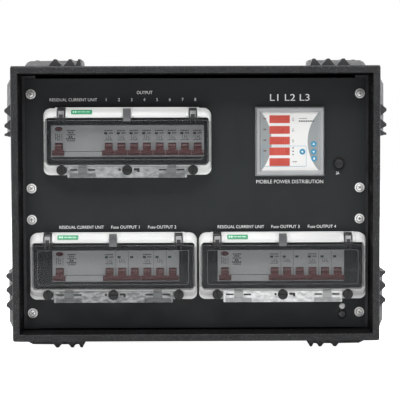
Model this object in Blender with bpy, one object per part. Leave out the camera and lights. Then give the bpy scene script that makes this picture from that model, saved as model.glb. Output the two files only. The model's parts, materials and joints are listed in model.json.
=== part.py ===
"""Portable power distribution box in a wooden flight-style case.

Frame: +Z up, +X to the right seen from the front, the front faces -Y.
The origin lies on the floor, under the middle of the case. Units are metres.
"""
import math

import bmesh
import bpy
from mathutils import Matrix, Vector

MM = 0.001
GAP = 0.3 * MM                     # clearance between neighbouring pieces

# --- case ---------------------------------------------------------------
CASE_W = 512 * MM
CASE_D = 380 * MM
CASE_H = 383 * MM
BOARD_T = 10 * MM
BOARD_EDGE = 1.6 * MM              # rounding of the board edges

# --- rubber edge guards ---------------------------------------------------
GUARD_T = 10.4 * MM                # height of a ridge's crest over the board
GUARD_BODY = 9.4 * MM              # height of the pad between the ridges
GUARD_WEB = 1.8 * MM               # thin web round the case corner
GUARD_START = 16 * MM              # pad start, from the case corner
GUARD_END = 97.5 * MM              # pad end, from the case corner
GUARD_SETBACK = 16 * MM            # from the case's front and rear edges
GUARD_RAMP = 22 * MM               # length of the sloping ends
GUARD_PAD_END = 76 * MM            # the pads end here, measured from the case's edges
GUARD_STEP = 6 * MM                # slope from a pad down to the thin link behind it
GUARD_TOE = 1 * MM                 # height of the valleys at the pad's ends
RIDGE_HALF = 4 * MM                # half width of a ridge's base
RIDGE_END_HALF = 9.4 * MM          # the same at the pad's ends, where the body slopes away
CREST_HALF = 1.7 * MM              # half width of a ridge's flat crest
RIDGE_PITCH = 21 * MM
RIDGES_NEAR = (50 * MM, 71 * MM, 91 * MM)   # measured from the case corner
RIDGES_MIDDLE = (55 * MM, 75.5 * MM, 94.8 * MM)
RIDGES_FAR = (61 * MM, 82 * MM, 95 * MM)

CASE_Z = GUARD_T                   # underside of the case
CASE_TOP = CASE_Z + CASE_H
MID_Z = CASE_Z + CASE_H / 2
FRONT_Y = -CASE_D / 2
REAR_Y = CASE_D / 2
INNER_X = CASE_W / 2 - BOARD_T     # half width between the side boards
INNER_Z = CASE_H / 2 - BOARD_T     # half height between the top and bottom boards

# --- front panel (19 inch, 8 units high) ----------------------------------
PANEL_W = 482.6 * MM
PANEL_H = 354.8 * MM
PANEL_T = 2.5 * MM
PANEL_Y = FRONT_Y + 45 * MM        # the panel's front face
PANEL_Z = MID_Z - 1.4 * MM         # the panel rests a little below the middle
RAIL_FLANGE = 19 * MM
RAIL_LEG = 26 * MM
RAIL_T = 2 * MM

# --- hinged windows over the breakers -------------------------------------
WINDOW_W = 236.2 * MM
WINDOW_H = 94 * MM
WINDOW_D = 20 * MM
WINDOW_RADIUS = 11 * MM
WINDOW_SIDE = 3.6 * MM
WINDOW_BAR = 13.5 * MM             # upper and lower bars of the frame
WINDOW_UPPER_Z = 88.5 * MM         # above the panel's middle
WINDOW_LOWER_Z = -87.7 * MM
LID_TOP_GAP = 3 * MM
LID_CLEARANCE = 0.7 * MM
LID_T = 2.2 * MM
LID_SKIRT = 9 * MM
LID_WALL = 1.8 * MM
LID_FRONT = 21.5 * MM              # the lid's front face, ahead of the panel
LID_FLANGE = 3.4 * MM              # the lid's reach over the sides of the frame
HINGE_STRIP_HALF = 84 * MM
HINGE_STRIP_DROP = 3.6 * MM        # reach of the strip below the frame
KNUCKLE_X = 62.4 * MM
KNUCKLE_W = 11.6 * MM
KNUCKLE_R = 2.2 * MM
LATCH_X = 92.3 * MM
LATCH_W = 10.6 * MM
LATCH_HUB = 3.2 * MM
LATCH_DEPTH = 8 * MM               # depth of the latch's notch in the frame

# --- breakers on rails ----------------------------------------------------
ROW_Z = 88.9 * MM                  # two units above and below the panel's middle
MODULE_W = 18 * MM
NOSE_HALF = 22 * MM
NOSE_D = 22 * MM
BODY_HALF = 42 * MM
BODY_D = 58 * MM
DIN_HALF = 17.5 * MM
DIN_D = 7.5 * MM
RCD_MODULES = 4
PIVOT_Z = -8 * MM                  # toggle pivot, from the breaker's middle
PIVOT_DEPTH = 1.5 * MM             # toggle pivot, behind the breaker's face
TOGGLE_DRUM_R = 5.4 * MM           # round hub that fills the slot
TOGGLE_LENGTH = 15.8 * MM
TOGGLE_NECK = 10.4 * MM
TOGGLE_STEM = 10.3 * MM
TOGGLE_BAR = 17.5 * MM
TOGGLE_T = 5 * MM
TOGGLE_DOWN = math.radians(40)     # below the horizontal when switched off
RCD_TOGGLE_X = 10.2 * MM           # from the RCD's left side
BUTTON_RX = 5.45 * MM
BUTTON_RZ = 3.05 * MM
BUTTON_Z = 17.5 * MM

# --- meter and fuse -------------------------------------------------------
METER_X = 133.6 * MM
METER_Z = 87.9 * MM                # above the panel's middle
METER_SIZE = 98.4 * MM
METER_BODY = 91 * MM
METER_FACE = 82 * MM
METER_PROUD = 9.5 * MM
METER_D = 62 * MM
FUSE_X = 203.2 * MM
FUSE_Z = 56.2 * MM                 # above the panel's middle
FUSE_R = 7 * MM

# --- side grips -----------------------------------------------------------
GRIP_Y = 10 * MM
GRIP_Z = MID_Z + 14 * MM
GRIP_LENGTH = 146 * MM
GRIP_HEIGHT = 86 * MM
GRIP_DEPTH = 48 * MM
GRIP_FLANGE = 12 * MM
GRIP_BAR_R = 10 * MM

# --- rear panel and its connectors ----------------------------------------
REAR_PANEL_Y = REAR_Y - 85 * MM    # the rear panel's outer face
REAR_RIM = 14 * MM
STRIP_W = 418 * MM
STRIP_H = 54 * MM
STRIP_Z = MID_Z + 136 * MM
SOCKET_PITCH = 52 * MM
SOCKET_COUNT = 8
SOCKET_R = 19.7 * MM
SOCKET_BOSS_R = 22 * MM
OUTLET_Z = MID_Z + 31 * MM
OUTLET_PITCH = 100 * MM
INLET_X = -150 * MM
INLET_Z = MID_Z - 99 * MM


class Connector:
    """Sizes of one round industrial connector with a hinged lid."""

    def __init__(self, flange, outer, inner, insert, depth):
        self.flange = flange
        self.outer = outer
        self.inner = inner
        self.insert = insert
        self.depth = depth
        self.hinge_rise = outer + 5 * MM


OUTLET_32 = Connector(84 * MM, 34 * MM, 30 * MM, 23 * MM, 38 * MM)
OUTLET_16 = Connector(76 * MM, 30.5 * MM, 26.8 * MM, 20 * MM, 36 * MM)
INLET_63 = Connector(106 * MM, 46 * MM, 42 * MM, 36 * MM, 58 * MM)


# --- modelling helpers ------------------------------------------------------
def material(name, colour, roughness, metallic=0.0, alpha=1.0):
    """A Principled material, made once for each name."""
    found = bpy.data.materials.get(name)
    if found:
        return found
    made = bpy.data.materials.new(name)
    made.use_nodes = True
    shader = made.node_tree.nodes["Principled BSDF"]
    shader.inputs["Base Color"].default_value = (*colour, 1.0)
    shader.inputs["Roughness"].default_value = roughness
    shader.inputs["Metallic"].default_value = metallic
    shader.inputs["Alpha"].default_value = alpha
    return made


def place(axis, u, v, depth):
    """A point of a flat outline: depth runs along axis, u and v across it."""
    if axis == "X":
        return Vector((depth, u, v))
    if axis == "Y":
        return Vector((u, depth, v))
    return Vector((u, v, depth))


def arc(cx, cy, radius, start, stop, steps=5):
    """Points along an arc, angles in degrees."""
    points = []
    for i in range(steps + 1):
        angle = math.radians(start + (stop - start) * i / steps)
        points.append((cx + radius * math.cos(angle), cy + radius * math.sin(angle)))
    return points


def circle(cx, cy, radius, steps=24):
    return arc(cx, cy, radius, 0, 360 * (steps - 1) / steps, steps - 1)


def ellipse(cx, cy, rx, ry, steps=20):
    return [(cx + rx * u, cy + ry * v) for u, v in circle(0, 0, 1, steps)]


def rectangle(u0, u1, v0, v1):
    return [(u0, v0), (u1, v0), (u1, v1), (u0, v1)]


def rounded(u0, u1, v0, v1, low, high=None, steps=5):
    """A rectangle with rounded corners: low radius at v0, high radius at v1."""
    high = low if high is None else high
    return (arc(u0 + low, v0 + low, low, 180, 270, steps)
            + arc(u1 - low, v0 + low, low, 270, 360, steps)
            + arc(u1 - high, v1 - high, high, 0, 90, steps)
            + arc(u0 + high, v1 - high, high, 90, 180, steps))


def plate(outline, holes, axis, low, high):
    """A flat outline with holes, extruded along axis from low to high."""
    bm = bmesh.new()
    edges = []
    for loop in [outline, *holes]:
        verts = [bm.verts.new(place(axis, u, v, low)) for u, v in loop]
        edges += [bm.edges.new((verts[i - 1], verts[i])) for i in range(len(verts))]
    bmesh.ops.triangle_fill(bm, use_beauty=True, use_dissolve=False, edges=edges)
    grown = bmesh.ops.extrude_face_region(bm, geom=bm.faces[:])
    moved = [item for item in grown["geom"] if isinstance(item, bmesh.types.BMVert)]
    bmesh.ops.translate(bm, verts=moved, vec=place(axis, 0, 0, high - low))
    bmesh.ops.recalc_face_normals(bm, faces=bm.faces)
    return bm


def block(x0, x1, y0, y1, z0, z1):
    return plate(rectangle(x0, x1, z0, z1), [], "Y", y0, y1)


def loft(rings):
    """A closed body through rings of equally many points, capped at both ends."""
    bm = bmesh.new()
    loops = [[bm.verts.new(point) for point in ring] for ring in rings]
    count = len(loops[0])
    for lower, upper in zip(loops, loops[1:]):
        for i in range(count):
            j = (i + 1) % count
            bm.faces.new((lower[i], lower[j], upper[j], upper[i]))
    bm.faces.new(reversed(loops[0]))
    bm.faces.new(loops[-1])
    bmesh.ops.recalc_face_normals(bm, faces=bm.faces)
    return bm


def turned(cx, cz, profile, steps=28):
    """A body of revolution about a line along Y, from (radius, y) pairs."""
    return loft([[place("Y", u, v, y) for u, v in circle(cx, cz, radius, steps)]
                 for radius, y in profile])


def merged(parts):
    """One mesh that holds several bodies, for use as a cutter or an addition."""
    whole = bmesh.new()
    for part in parts:
        mesh = bpy.data.meshes.new("scratch")
        part.to_mesh(mesh)
        part.free()
        whole.from_mesh(mesh)
        bpy.data.meshes.remove(mesh)
    return whole


def piece(name, bm, surface, origin=(0, 0, 0)):
    """An object made from a mesh in world coordinates, with its origin at a pivot."""
    mesh = bpy.data.meshes.new(name)
    bmesh.ops.translate(bm, verts=bm.verts, vec=-Vector(origin))
    bm.to_mesh(mesh)
    bm.free()
    mesh.shade_smooth()
    mesh.set_sharp_from_angle(angle=math.radians(30))
    mesh.materials.append(surface)
    made = bpy.data.objects.new(name, mesh)
    made.location = origin
    bpy.context.scene.collection.objects.link(made)
    return made


def combine(target, bm, operation):
    """Adds a body to target (UNION) or takes it away (DIFFERENCE)."""
    order = len(target.modifiers)
    helper = piece(f"{target.name}_{operation.lower()}_{order}", bm, target.data.materials[0])
    helper.hide_render = True
    helper.display_type = "WIRE"
    step = target.modifiers.new(f"{operation.title()} {order}", "BOOLEAN")
    step.operation = operation
    step.solver = "EXACT"
    step.object = helper


def soften(target, width, segments=2):
    """Rounds the sharp edges of a piece."""
    step = target.modifiers.new("Bevel", "BEVEL")
    step.width = width
    step.segments = segments
    step.limit_method = "ANGLE"
    step.angle_limit = math.radians(40)


# --- materials --------------------------------------------------------------
def case_paint():
    return material("case_paint", (0.035, 0.036, 0.038), 0.62)


def guard_rubber():
    return material("guard_rubber", (0.045, 0.046, 0.048), 0.7)


def rail_steel():
    return material("rail_steel", (0.06, 0.06, 0.062), 0.4, 0.6)


def panel_paint():
    return material("panel_paint", (0.028, 0.031, 0.033), 0.55)


def frame_plastic():
    return material("frame_plastic", (0.72, 0.73, 0.72), 0.35)


def lid_plastic():
    return material("lid_plastic", (0.35, 0.38, 0.4), 0.08, 0.0, 0.3)


def latch_plastic():
    return material("latch_plastic", (0.03, 0.03, 0.03), 0.35)


def breaker_plastic():
    return material("breaker_plastic", (0.68, 0.69, 0.69), 0.45)


def toggle_plastic():
    return material("toggle_plastic", (0.24, 0.03, 0.035), 0.4)


def meter_plastic():
    return material("meter_plastic", (0.52, 0.53, 0.54), 0.3)


def black_plastic():
    return material("black_plastic", (0.02, 0.02, 0.02), 0.4)


def outlet_plastic():
    return material("outlet_plastic", (0.5, 0.03, 0.025), 0.35)


def socket_plastic():
    return material("socket_plastic", (0.03, 0.07, 0.25), 0.4)


# --- case -------------------------------------------------------------------
def build_case():
    half = CASE_W / 2
    levels = {"case_bottom_board": CASE_Z, "case_top_board": CASE_TOP - BOARD_T}
    for name, z in levels.items():
        board = piece(name, block(-half, half, FRONT_Y, REAR_Y, z, z + BOARD_T), case_paint())
        soften(board, BOARD_EDGE)
    low = CASE_Z + BOARD_T + GAP
    high = CASE_TOP - BOARD_T - GAP
    hole = rounded(GRIP_Y - GRIP_LENGTH / 2 - MM, GRIP_Y + GRIP_LENGTH / 2 + MM,
                   GRIP_Z - GRIP_HEIGHT / 2 - MM, GRIP_Z + GRIP_HEIGHT / 2 + MM, 13 * MM)
    for name, side in (("left", -1), ("right", 1)):
        near, far = sorted((side * INNER_X, side * half))
        side_bm = plate(rectangle(FRONT_Y, REAR_Y, low, high), [hole], "X", near, far)
        soften(piece(f"case_{name}_board", side_bm, case_paint()), BOARD_EDGE)


class Section:
    """Heights of a guard's cross-section, and the half width of its ridges."""

    def __init__(self, web, body, crest, reach):
        self.web = web
        self.body = body
        self.crest = crest
        self.reach = reach


GUARD_TIP = Section(GUARD_TOE, GUARD_TOE, GUARD_T, RIDGE_END_HALF)
GUARD_PAD = Section(GUARD_WEB, GUARD_BODY, GUARD_T, RIDGE_HALF)
GUARD_LINK = Section(GUARD_WEB, GUARD_WEB, GUARD_WEB, RIDGE_HALF)


def pad_heights(ridges, section):
    """Outline of one wing, from the case corner outwards, as (distance, height)."""
    points = [(GUARD_START, section.web), (GUARD_START + 3 * MM, max(section.web, 0.7 * section.body)),
              (GUARD_START + 8 * MM, max(section.web, 0.96 * section.body))]
    middles = [(first + second) / 2 for first, second in zip(ridges, ridges[1:])]
    lows = [ridges[0] - RIDGE_PITCH / 2, *middles]
    highs = [*middles, GUARD_END - MM]
    for ridge, low, high in zip(ridges, lows, highs):
        near = max(ridge - section.reach, low + 0.2 * MM)
        far = min(ridge + section.reach, high - 0.2 * MM)
        crest_end = min(ridge + CREST_HALF, far - 0.2 * MM)
        points += [(near, section.body), (ridge - CREST_HALF, section.crest),
                   (crest_end, section.crest), (far, section.body)]
    return points + [(GUARD_END - 0.6 * MM, section.body), (GUARD_END, 0.75 * section.body), (GUARD_END, GAP)]


def guard_ring(side, level, ridges_flat, ridges_side, y, section):
    """One cross-section of a guard round the case corner at (side, level)."""
    corner_x = side * CASE_W / 2
    corner_z = CASE_TOP if level > 0 else CASE_Z
    flat = pad_heights(ridges_flat, section)
    upright = pad_heights(ridges_side, section)
    ring = [(corner_x - side * a, y, corner_z + level * h) for a, h in reversed(flat)]
    for u, v in arc(0, 0, section.web, 90, 0, 4):
        ring.append((corner_x + side * u, y, corner_z + level * v))
    ring += [(corner_x + side * h, y, corner_z - level * a) for a, h in upright]
    ring.append((corner_x + side * GAP, y, corner_z + level * GAP))
    return ring


def build_guards():
    """Four guards, each with a pad at either end and a thin link between them."""
    steps = ((GUARD_SETBACK, GUARD_TIP), (GUARD_SETBACK + GUARD_RAMP, GUARD_PAD),
             (GUARD_PAD_END - GUARD_STEP, GUARD_PAD), (GUARD_PAD_END, GUARD_LINK))
    stations = [(FRONT_Y + depth, section) for depth, section in steps]
    stations += [(REAR_Y - depth, section) for depth, section in reversed(steps)]
    corners = {
        "top_left": (-1, 1, RIDGES_FAR, RIDGES_FAR),
        "top_right": (1, 1, RIDGES_NEAR, RIDGES_FAR),
        "bottom_left": (-1, -1, RIDGES_FAR, RIDGES_NEAR),
        "bottom_right": (1, -1, RIDGES_FAR, RIDGES_MIDDLE),
    }
    for name, (side, level, ridges_flat, ridges_side) in corners.items():
        rings = [guard_ring(side, level, ridges_flat, ridges_side, y, section)
                 for y, section in stations]
        piece(f"edge_guard_{name}", loft(rings), guard_rubber())


def build_rails():
    """Angle strips behind the panel's ears, screwed to the side boards."""
    back = PANEL_Y + PANEL_T + GAP
    wall = INNER_X - GAP
    reach = INNER_Z - 1.5 * MM
    for name, side in (("left", -1), ("right", 1)):
        outline = [(wall, back), (wall, back + RAIL_LEG), (wall - RAIL_T, back + RAIL_LEG),
                   (wall - RAIL_T, back + RAIL_T), (wall - RAIL_FLANGE, back + RAIL_T),
                   (wall - RAIL_FLANGE, back)]
        outline = [(side * x, y) for x, y in outline]
        rail = plate(outline, [], "Z", MID_Z - reach, MID_Z + reach)
        piece(f"rack_rail_{name}", rail, rail_steel())


# --- breakers behind windows --------------------------------------------------
class Window:
    """One hinged window and the breakers behind it."""

    def __init__(self, name, centre, upper, first_module, single_pole, three_pole):
        self.name = name
        self.x = centre
        self.z = PANEL_Z + (WINDOW_UPPER_Z if upper else WINDOW_LOWER_Z)
        self.row_x = first_module
        self.row_z = PANEL_Z + (ROW_Z if upper else -ROW_Z)
        self.single_pole = single_pole
        self.three_pole = three_pole
        self.modules = RCD_MODULES + single_pole + 3 * three_pole
        self.row_end = first_module + self.modules * MODULE_W

    def module_x(self, index):
        """Middle of a breaker module, counted after the residual-current device."""
        return self.row_x + (RCD_MODULES + index + 0.5) * MODULE_W

    def rcd_x(self):
        return self.row_x + RCD_TOGGLE_X


WINDOWS = (
    Window("upper", -96.1 * MM, True, -204.1 * MM, 8, 0),
    Window("lower_left", -116.7 * MM, False, -204.2 * MM, 0, 2),
    Window("lower_right", 122.3 * MM, False, 31 * MM, 0, 2),
)


def build_window_frame(window):
    x, z = window.x, window.z
    half_w, half_h = WINDOW_W / 2, WINDOW_H / 2
    outline = rounded(x - half_w, x + half_w, z - half_h, z + half_h,
                      WINDOW_RADIUS - 2 * MM, WINDOW_RADIUS)
    opening = rounded(x - half_w + WINDOW_SIDE, x + half_w - WINDOW_SIDE,
                      z - half_h + WINDOW_BAR, z + half_h - WINDOW_BAR, 5.5 * MM, 2 * MM)
    front = PANEL_Y - WINDOW_D
    ring = plate(outline, [opening], "Y", front, PANEL_Y - GAP)
    frame = piece(f"window_frame_{window.name}", ring, frame_plastic())
    strip_top = z - half_h + WINDOW_BAR - 1.2 * MM
    strip = block(x - HINGE_STRIP_HALF, x + HINGE_STRIP_HALF, front - 2.5 * MM, front + 5 * MM,
                  z - half_h - HINGE_STRIP_DROP, strip_top)
    combine(frame, strip, "UNION")
    cuts = []
    for side in (-1, 1):
        latch = x + side * LATCH_X
        cuts.append(block(latch - LATCH_W / 2 - 0.4 * MM, latch + LATCH_W / 2 + 0.4 * MM,
                          front - 4 * MM, front + LATCH_DEPTH,
                          z + half_h - WINDOW_BAR - 2 * MM, z + half_h + 2 * MM))
        knuckle = x + side * KNUCKLE_X
        cuts.append(block(knuckle - KNUCKLE_W / 2 - 0.5 * MM, knuckle + KNUCKLE_W / 2 + 0.5 * MM,
                          front - 6 * MM, front + 4 * MM,
                          z - half_h + WINDOW_BAR - 5 * MM, z - half_h + WINDOW_BAR + 3 * MM))
    combine(frame, merged(cuts), "DIFFERENCE")


def build_window_lid(window):
    """Clear lid with a skirt, side flanges, a finger tongue and two hinge knuckles."""
    x, z = window.x, window.z
    half = WINDOW_W / 2 - WINDOW_SIDE - LID_CLEARANCE
    low = z - WINDOW_H / 2 + WINDOW_BAR + LID_CLEARANCE
    high = z + WINDOW_H / 2 - WINDOW_BAR - LID_TOP_GAP
    front = PANEL_Y - LID_FRONT
    pivot_z = z - WINDOW_H / 2 + WINDOW_BAR - 1.6 * MM
    pivot = (x, PANEL_Y - WINDOW_D - 0.3 * MM, pivot_z)

    def ring(inset, y):
        shape = rounded(x - half + inset, x + half - inset, low + inset, high - inset,
                        5 * MM - inset, 2.5 * MM - inset)
        return [place("Y", u, v, y) for u, v in shape]

    tray = loft([ring(1.2 * MM, front), ring(0, front + 1.2 * MM), ring(0, front + LID_SKIRT),
                 ring(LID_WALL, front + LID_SKIRT), ring(LID_WALL, front + LID_T)])
    lid = piece(f"window_lid_{window.name}", tray, lid_plastic(), pivot)
    extras = [block(x - 5.35 * MM, x + 5.35 * MM, front - MM, front + 1.1 * MM,
                    high - 4 * MM, z + WINDOW_H / 2 - 0.8 * MM)]
    for side in (-1, 1):
        near, far = sorted((x + side * (half - MM), x + side * (half + LID_FLANGE)))
        extras.append(block(near, far, front + 0.4 * MM, front + 1.1 * MM, low + 4 * MM, high - 2 * MM))
        knuckle = x + side * KNUCKLE_X
        outline = arc(pivot[1], pivot_z, KNUCKLE_R, 180, 360, 10)
        outline += [(pivot[1] + KNUCKLE_R, low + 1.4 * MM), (pivot[1] - KNUCKLE_R, low + 1.4 * MM)]
        extras.append(plate(outline, [], "X", knuckle - KNUCKLE_W / 2, knuckle + KNUCKLE_W / 2))
    combine(lid, merged(extras), "UNION")


def build_latches(window):
    front = PANEL_Y - WINDOW_D
    top = window.z + WINDOW_H / 2
    hub_y = front + 3.6 * MM
    hub_z = top - 4.9 * MM
    foot = top - WINDOW_BAR - LID_TOP_GAP + 0.6 * MM
    for name, side in (("left", -1), ("right", 1)):
        x = window.x + side * LATCH_X
        outline = arc(hub_y, hub_z, LATCH_HUB, 90, -75, 9)
        outline += [(front + 3 * MM, foot + 5 * MM), (front + 3.4 * MM, foot), (front - 1.2 * MM, foot),
                    (front - 2.2 * MM, foot + 4 * MM), (front - 2.2 * MM, hub_z + MM),
                    (front - 0.6 * MM, hub_z + LATCH_HUB)]
        bm = plate(outline, [], "X", x - LATCH_W / 2, x + LATCH_W / 2)
        latch = piece(f"window_latch_{window.name}_{name}", bm, latch_plastic(), (x, hub_y, hub_z))
        soften(latch, 0.4 * MM)


def row_cuts(window):
    """Toggle slots, the test button's bore and the joints between modules."""
    face = PANEL_Y - MM
    cuts = []
    z = window.row_z
    pivot = z + PIVOT_Z
    reach = TOGGLE_DRUM_R + 0.5 * MM
    centres = [window.rcd_x()]
    centres += [window.module_x(i) for i in range(window.modules - RCD_MODULES)]
    for x in centres:
        cuts.append(block(x - TOGGLE_STEM / 2 - 0.6 * MM, x + TOGGLE_STEM / 2 + 0.6 * MM,
                          face, PANEL_Y + 8 * MM, pivot - reach, pivot + reach))
    bore = ellipse(window.rcd_x(), z + BUTTON_Z, BUTTON_RX + 0.35 * MM, BUTTON_RZ + 0.35 * MM)
    cuts.append(plate(bore, [], "Y", face, PANEL_Y + 6.2 * MM))
    joints = [RCD_MODULES + i for i in range(window.single_pole)]
    joints += [RCD_MODULES + 3 * i for i in range(window.three_pole)]
    for index in joints:
        x = window.row_x + index * MODULE_W
        cuts.append(block(x - 0.25 * MM, x + 0.25 * MM, face, PANEL_Y + 0.6 * MM,
                          z - NOSE_HALF - MM, z + NOSE_HALF + MM))
    return cuts


def build_breaker_row(window):
    z = window.row_z
    nose_back = PANEL_Y + NOSE_D
    body_back = PANEL_Y + BODY_D
    rail_back = body_back + DIN_D
    upper = [(PANEL_Y, NOSE_HALF), (nose_back, NOSE_HALF), (nose_back, BODY_HALF),
             (body_back, BODY_HALF), (body_back, DIN_HALF), (rail_back, DIN_HALF)]
    outline = [(y, z + h) for y, h in upper] + [(y, z - h) for y, h in reversed(upper)]
    bm = plate(outline, [], "X", window.row_x, window.row_end)
    row = piece(f"breaker_row_{window.name}", bm, breaker_plastic())
    rail_end = 12 * MM
    support = [block(window.row_x - rail_end, window.row_end + rail_end,
                     body_back + MM, rail_back - MM, z - 15 * MM, z + 15 * MM)]
    combine(row, merged(support), "UNION")
    posts = []
    for edge in (window.row_x - rail_end + MM, window.row_end + 4 * MM):
        posts.append(block(edge, edge + 7 * MM, PANEL_Y + PANEL_T + GAP, body_back + 3 * MM,
                           z - 6 * MM, z + 6 * MM))
    combine(row, merged(posts), "UNION")
    combine(row, merged(row_cuts(window)), "DIFFERENCE")


def toggle_outline(poles):
    """Comb-shaped lever outline, as (sideways, distance from the pivot)."""
    half_bar = TOGGLE_BAR / 2 + (poles - 1) * MODULE_W / 2
    points = [(half_bar, TOGGLE_NECK), (half_bar, TOGGLE_LENGTH),
              (-half_bar, TOGGLE_LENGTH), (-half_bar, TOGGLE_NECK)]
    for pole in range(poles):
        x = (pole - (poles - 1) / 2) * MODULE_W
        points += [(x - TOGGLE_STEM / 2, TOGGLE_NECK), (x - TOGGLE_STEM / 2, -2 * MM),
                   (x + TOGGLE_STEM / 2, -2 * MM), (x + TOGGLE_STEM / 2, TOGGLE_NECK)]
    return points


def build_toggle(name, window, x, poles=1):
    """A toggle in its off position, pointing out and down, on a drum for each pole."""
    pivot = Vector((x, PANEL_Y + PIVOT_DEPTH, window.row_z + PIVOT_Z))
    bm = plate(toggle_outline(poles), [], "Z", -TOGGLE_T / 2, TOGGLE_T / 2)
    outward = Matrix.Scale(-1, 4, (0, 1, 0))
    tilt = Matrix.Rotation(TOGGLE_DOWN, 4, "X")
    bmesh.ops.transform(bm, matrix=Matrix.Translation(pivot) @ tilt @ outward, verts=bm.verts)
    bmesh.ops.recalc_face_normals(bm, faces=bm.faces)
    toggle = piece(name, bm, toggle_plastic(), pivot)
    drums = []
    for pole in range(poles):
        middle = x + (pole - (poles - 1) / 2) * MODULE_W
        drums.append(plate(circle(pivot.y, pivot.z, TOGGLE_DRUM_R, 20), [], "X",
                           middle - TOGGLE_STEM / 2 - 0.1 * MM, middle + TOGGLE_STEM / 2 + 0.1 * MM))
    combine(toggle, merged(drums), "UNION")


def build_test_button(window):
    x, z = window.rcd_x(), window.row_z + BUTTON_Z
    outer = ellipse(x, z, BUTTON_RX, BUTTON_RZ)
    crown = ellipse(x, z, BUTTON_RX - 0.5 * MM, BUTTON_RZ - 0.5 * MM)
    rings = [[place("Y", u, v, PANEL_Y + 4 * MM) for u, v in outer],
             [place("Y", u, v, PANEL_Y - 0.5 * MM) for u, v in outer],
             [place("Y", u, v, PANEL_Y - MM) for u, v in crown]]
    piece(f"rcd_test_button_{window.name}", loft(rings), toggle_plastic(), (x, PANEL_Y, z))


def build_breakers():
    toggle = 1
    gang = 1
    for window in WINDOWS:
        build_breaker_row(window)
        build_toggle(f"rcd_toggle_{window.name}", window, window.rcd_x())
        build_test_button(window)
        for index in range(window.single_pole):
            build_toggle(f"breaker_toggle_{toggle}", window, window.module_x(index))
            toggle += 1
        for index in range(window.three_pole):
            build_toggle(f"three_pole_toggle_{gang}", window, window.module_x(3 * index + 1), 3)
            gang += 1


# --- front panel --------------------------------------------------------------
def build_front_panel():
    holes = []
    for window in WINDOWS:
        holes.append(rectangle(window.row_x - 0.5 * MM, window.row_end + 0.5 * MM,
                               window.row_z - NOSE_HALF - 0.5 * MM, window.row_z + NOSE_HALF + 0.5 * MM))
    cutout = METER_BODY / 2 + 0.5 * MM
    meter_z = PANEL_Z + METER_Z
    holes.append(rectangle(METER_X - cutout, METER_X + cutout, meter_z - cutout, meter_z + cutout))
    holes.append(circle(FUSE_X, PANEL_Z + FUSE_Z, FUSE_R - 0.6 * MM, 24))
    outline = rectangle(-PANEL_W / 2, PANEL_W / 2, PANEL_Z - PANEL_H / 2, PANEL_Z + PANEL_H / 2)
    panel = plate(outline, holes, "Y", PANEL_Y, PANEL_Y + PANEL_T)
    piece("front_panel", panel, panel_paint())


def build_meter():
    """Square panel meter: body behind the panel, sloping bezel and sunken face."""
    z = PANEL_Z + METER_Z
    sections = ((METER_BODY, METER_D), (METER_BODY, -GAP), (METER_SIZE, -GAP), (METER_SIZE, -2 * MM),
                (METER_SIZE - 3 * MM, -METER_PROUD + 2 * MM), (METER_SIZE - 5 * MM, -METER_PROUD),
                (METER_FACE + 5 * MM, -METER_PROUD), (METER_FACE, -METER_PROUD + 4 * MM))
    rings = []
    for size, depth in sections:
        half = size / 2
        shape = rounded(METER_X - half, METER_X + half, z - half, z + half, 1.5 * MM, steps=3)
        rings.append([place("Y", u, v, PANEL_Y + depth) for u, v in shape])
    piece("meter", loft(rings), meter_plastic())


def build_fuse_cap():
    z = PANEL_Z + FUSE_Z
    profile = ((FUSE_R - MM, PANEL_Y + 20 * MM), (FUSE_R - MM, PANEL_Y - GAP), (FUSE_R, PANEL_Y - GAP),
               (FUSE_R, PANEL_Y - 4.6 * MM), (FUSE_R - 1.2 * MM, PANEL_Y - 6 * MM))
    cap = piece("fuse_cap", turned(FUSE_X, z, profile, 32), black_plastic(), (FUSE_X, PANEL_Y, z))
    slot = block(FUSE_X - 5 * MM, FUSE_X + 5 * MM, PANEL_Y - 8 * MM, PANEL_Y - 4.6 * MM,
                 z - 0.8 * MM, z + 0.8 * MM)
    combine(cap, slot, "DIFFERENCE")


# --- side grips ---------------------------------------------------------------
def build_grips():
    """Recessed grip dishes with a round bar, let into the side boards."""
    lip = CASE_W / 2 + GAP
    sections = ((0, lip - GRIP_DEPTH), (0, lip), (GRIP_FLANGE, lip),
                (GRIP_FLANGE - 1.2 * MM, lip + 3 * MM), (-2 * MM, lip + 3 * MM),
                (-4 * MM, lip), (-6 * MM, lip - GRIP_DEPTH + 3 * MM))
    for name, side in (("left", -1), ("right", 1)):
        rings = []
        for grow, x in sections:
            half_l = GRIP_LENGTH / 2 + grow
            half_h = GRIP_HEIGHT / 2 + grow
            shape = rounded(GRIP_Y - half_l, GRIP_Y + half_l, GRIP_Z - half_h, GRIP_Z + half_h, 12 * MM)
            rings.append([place("X", u, v, side * x) for u, v in shape])
        grip = piece(f"side_grip_{name}", loft(rings), black_plastic())
        bar_x = side * (lip - 11 * MM)
        reach = GRIP_LENGTH / 2 - 2 * MM
        outline = circle(bar_x, GRIP_Z, GRIP_BAR_R, 24)
        combine(grip, plate(outline, [], "Y", GRIP_Y - reach, GRIP_Y + reach), "UNION")


# --- rear ---------------------------------------------------------------------
def outlet_places():
    """Position and size of the four three-phase outlets."""
    sizes = (OUTLET_32, OUTLET_32, OUTLET_16, OUTLET_16)
    return [((i - 1.5) * OUTLET_PITCH, OUTLET_Z, size) for i, size in enumerate(sizes)]


def socket_places():
    return [(i - (SOCKET_COUNT - 1) / 2) * SOCKET_PITCH for i in range(SOCKET_COUNT)]


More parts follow.
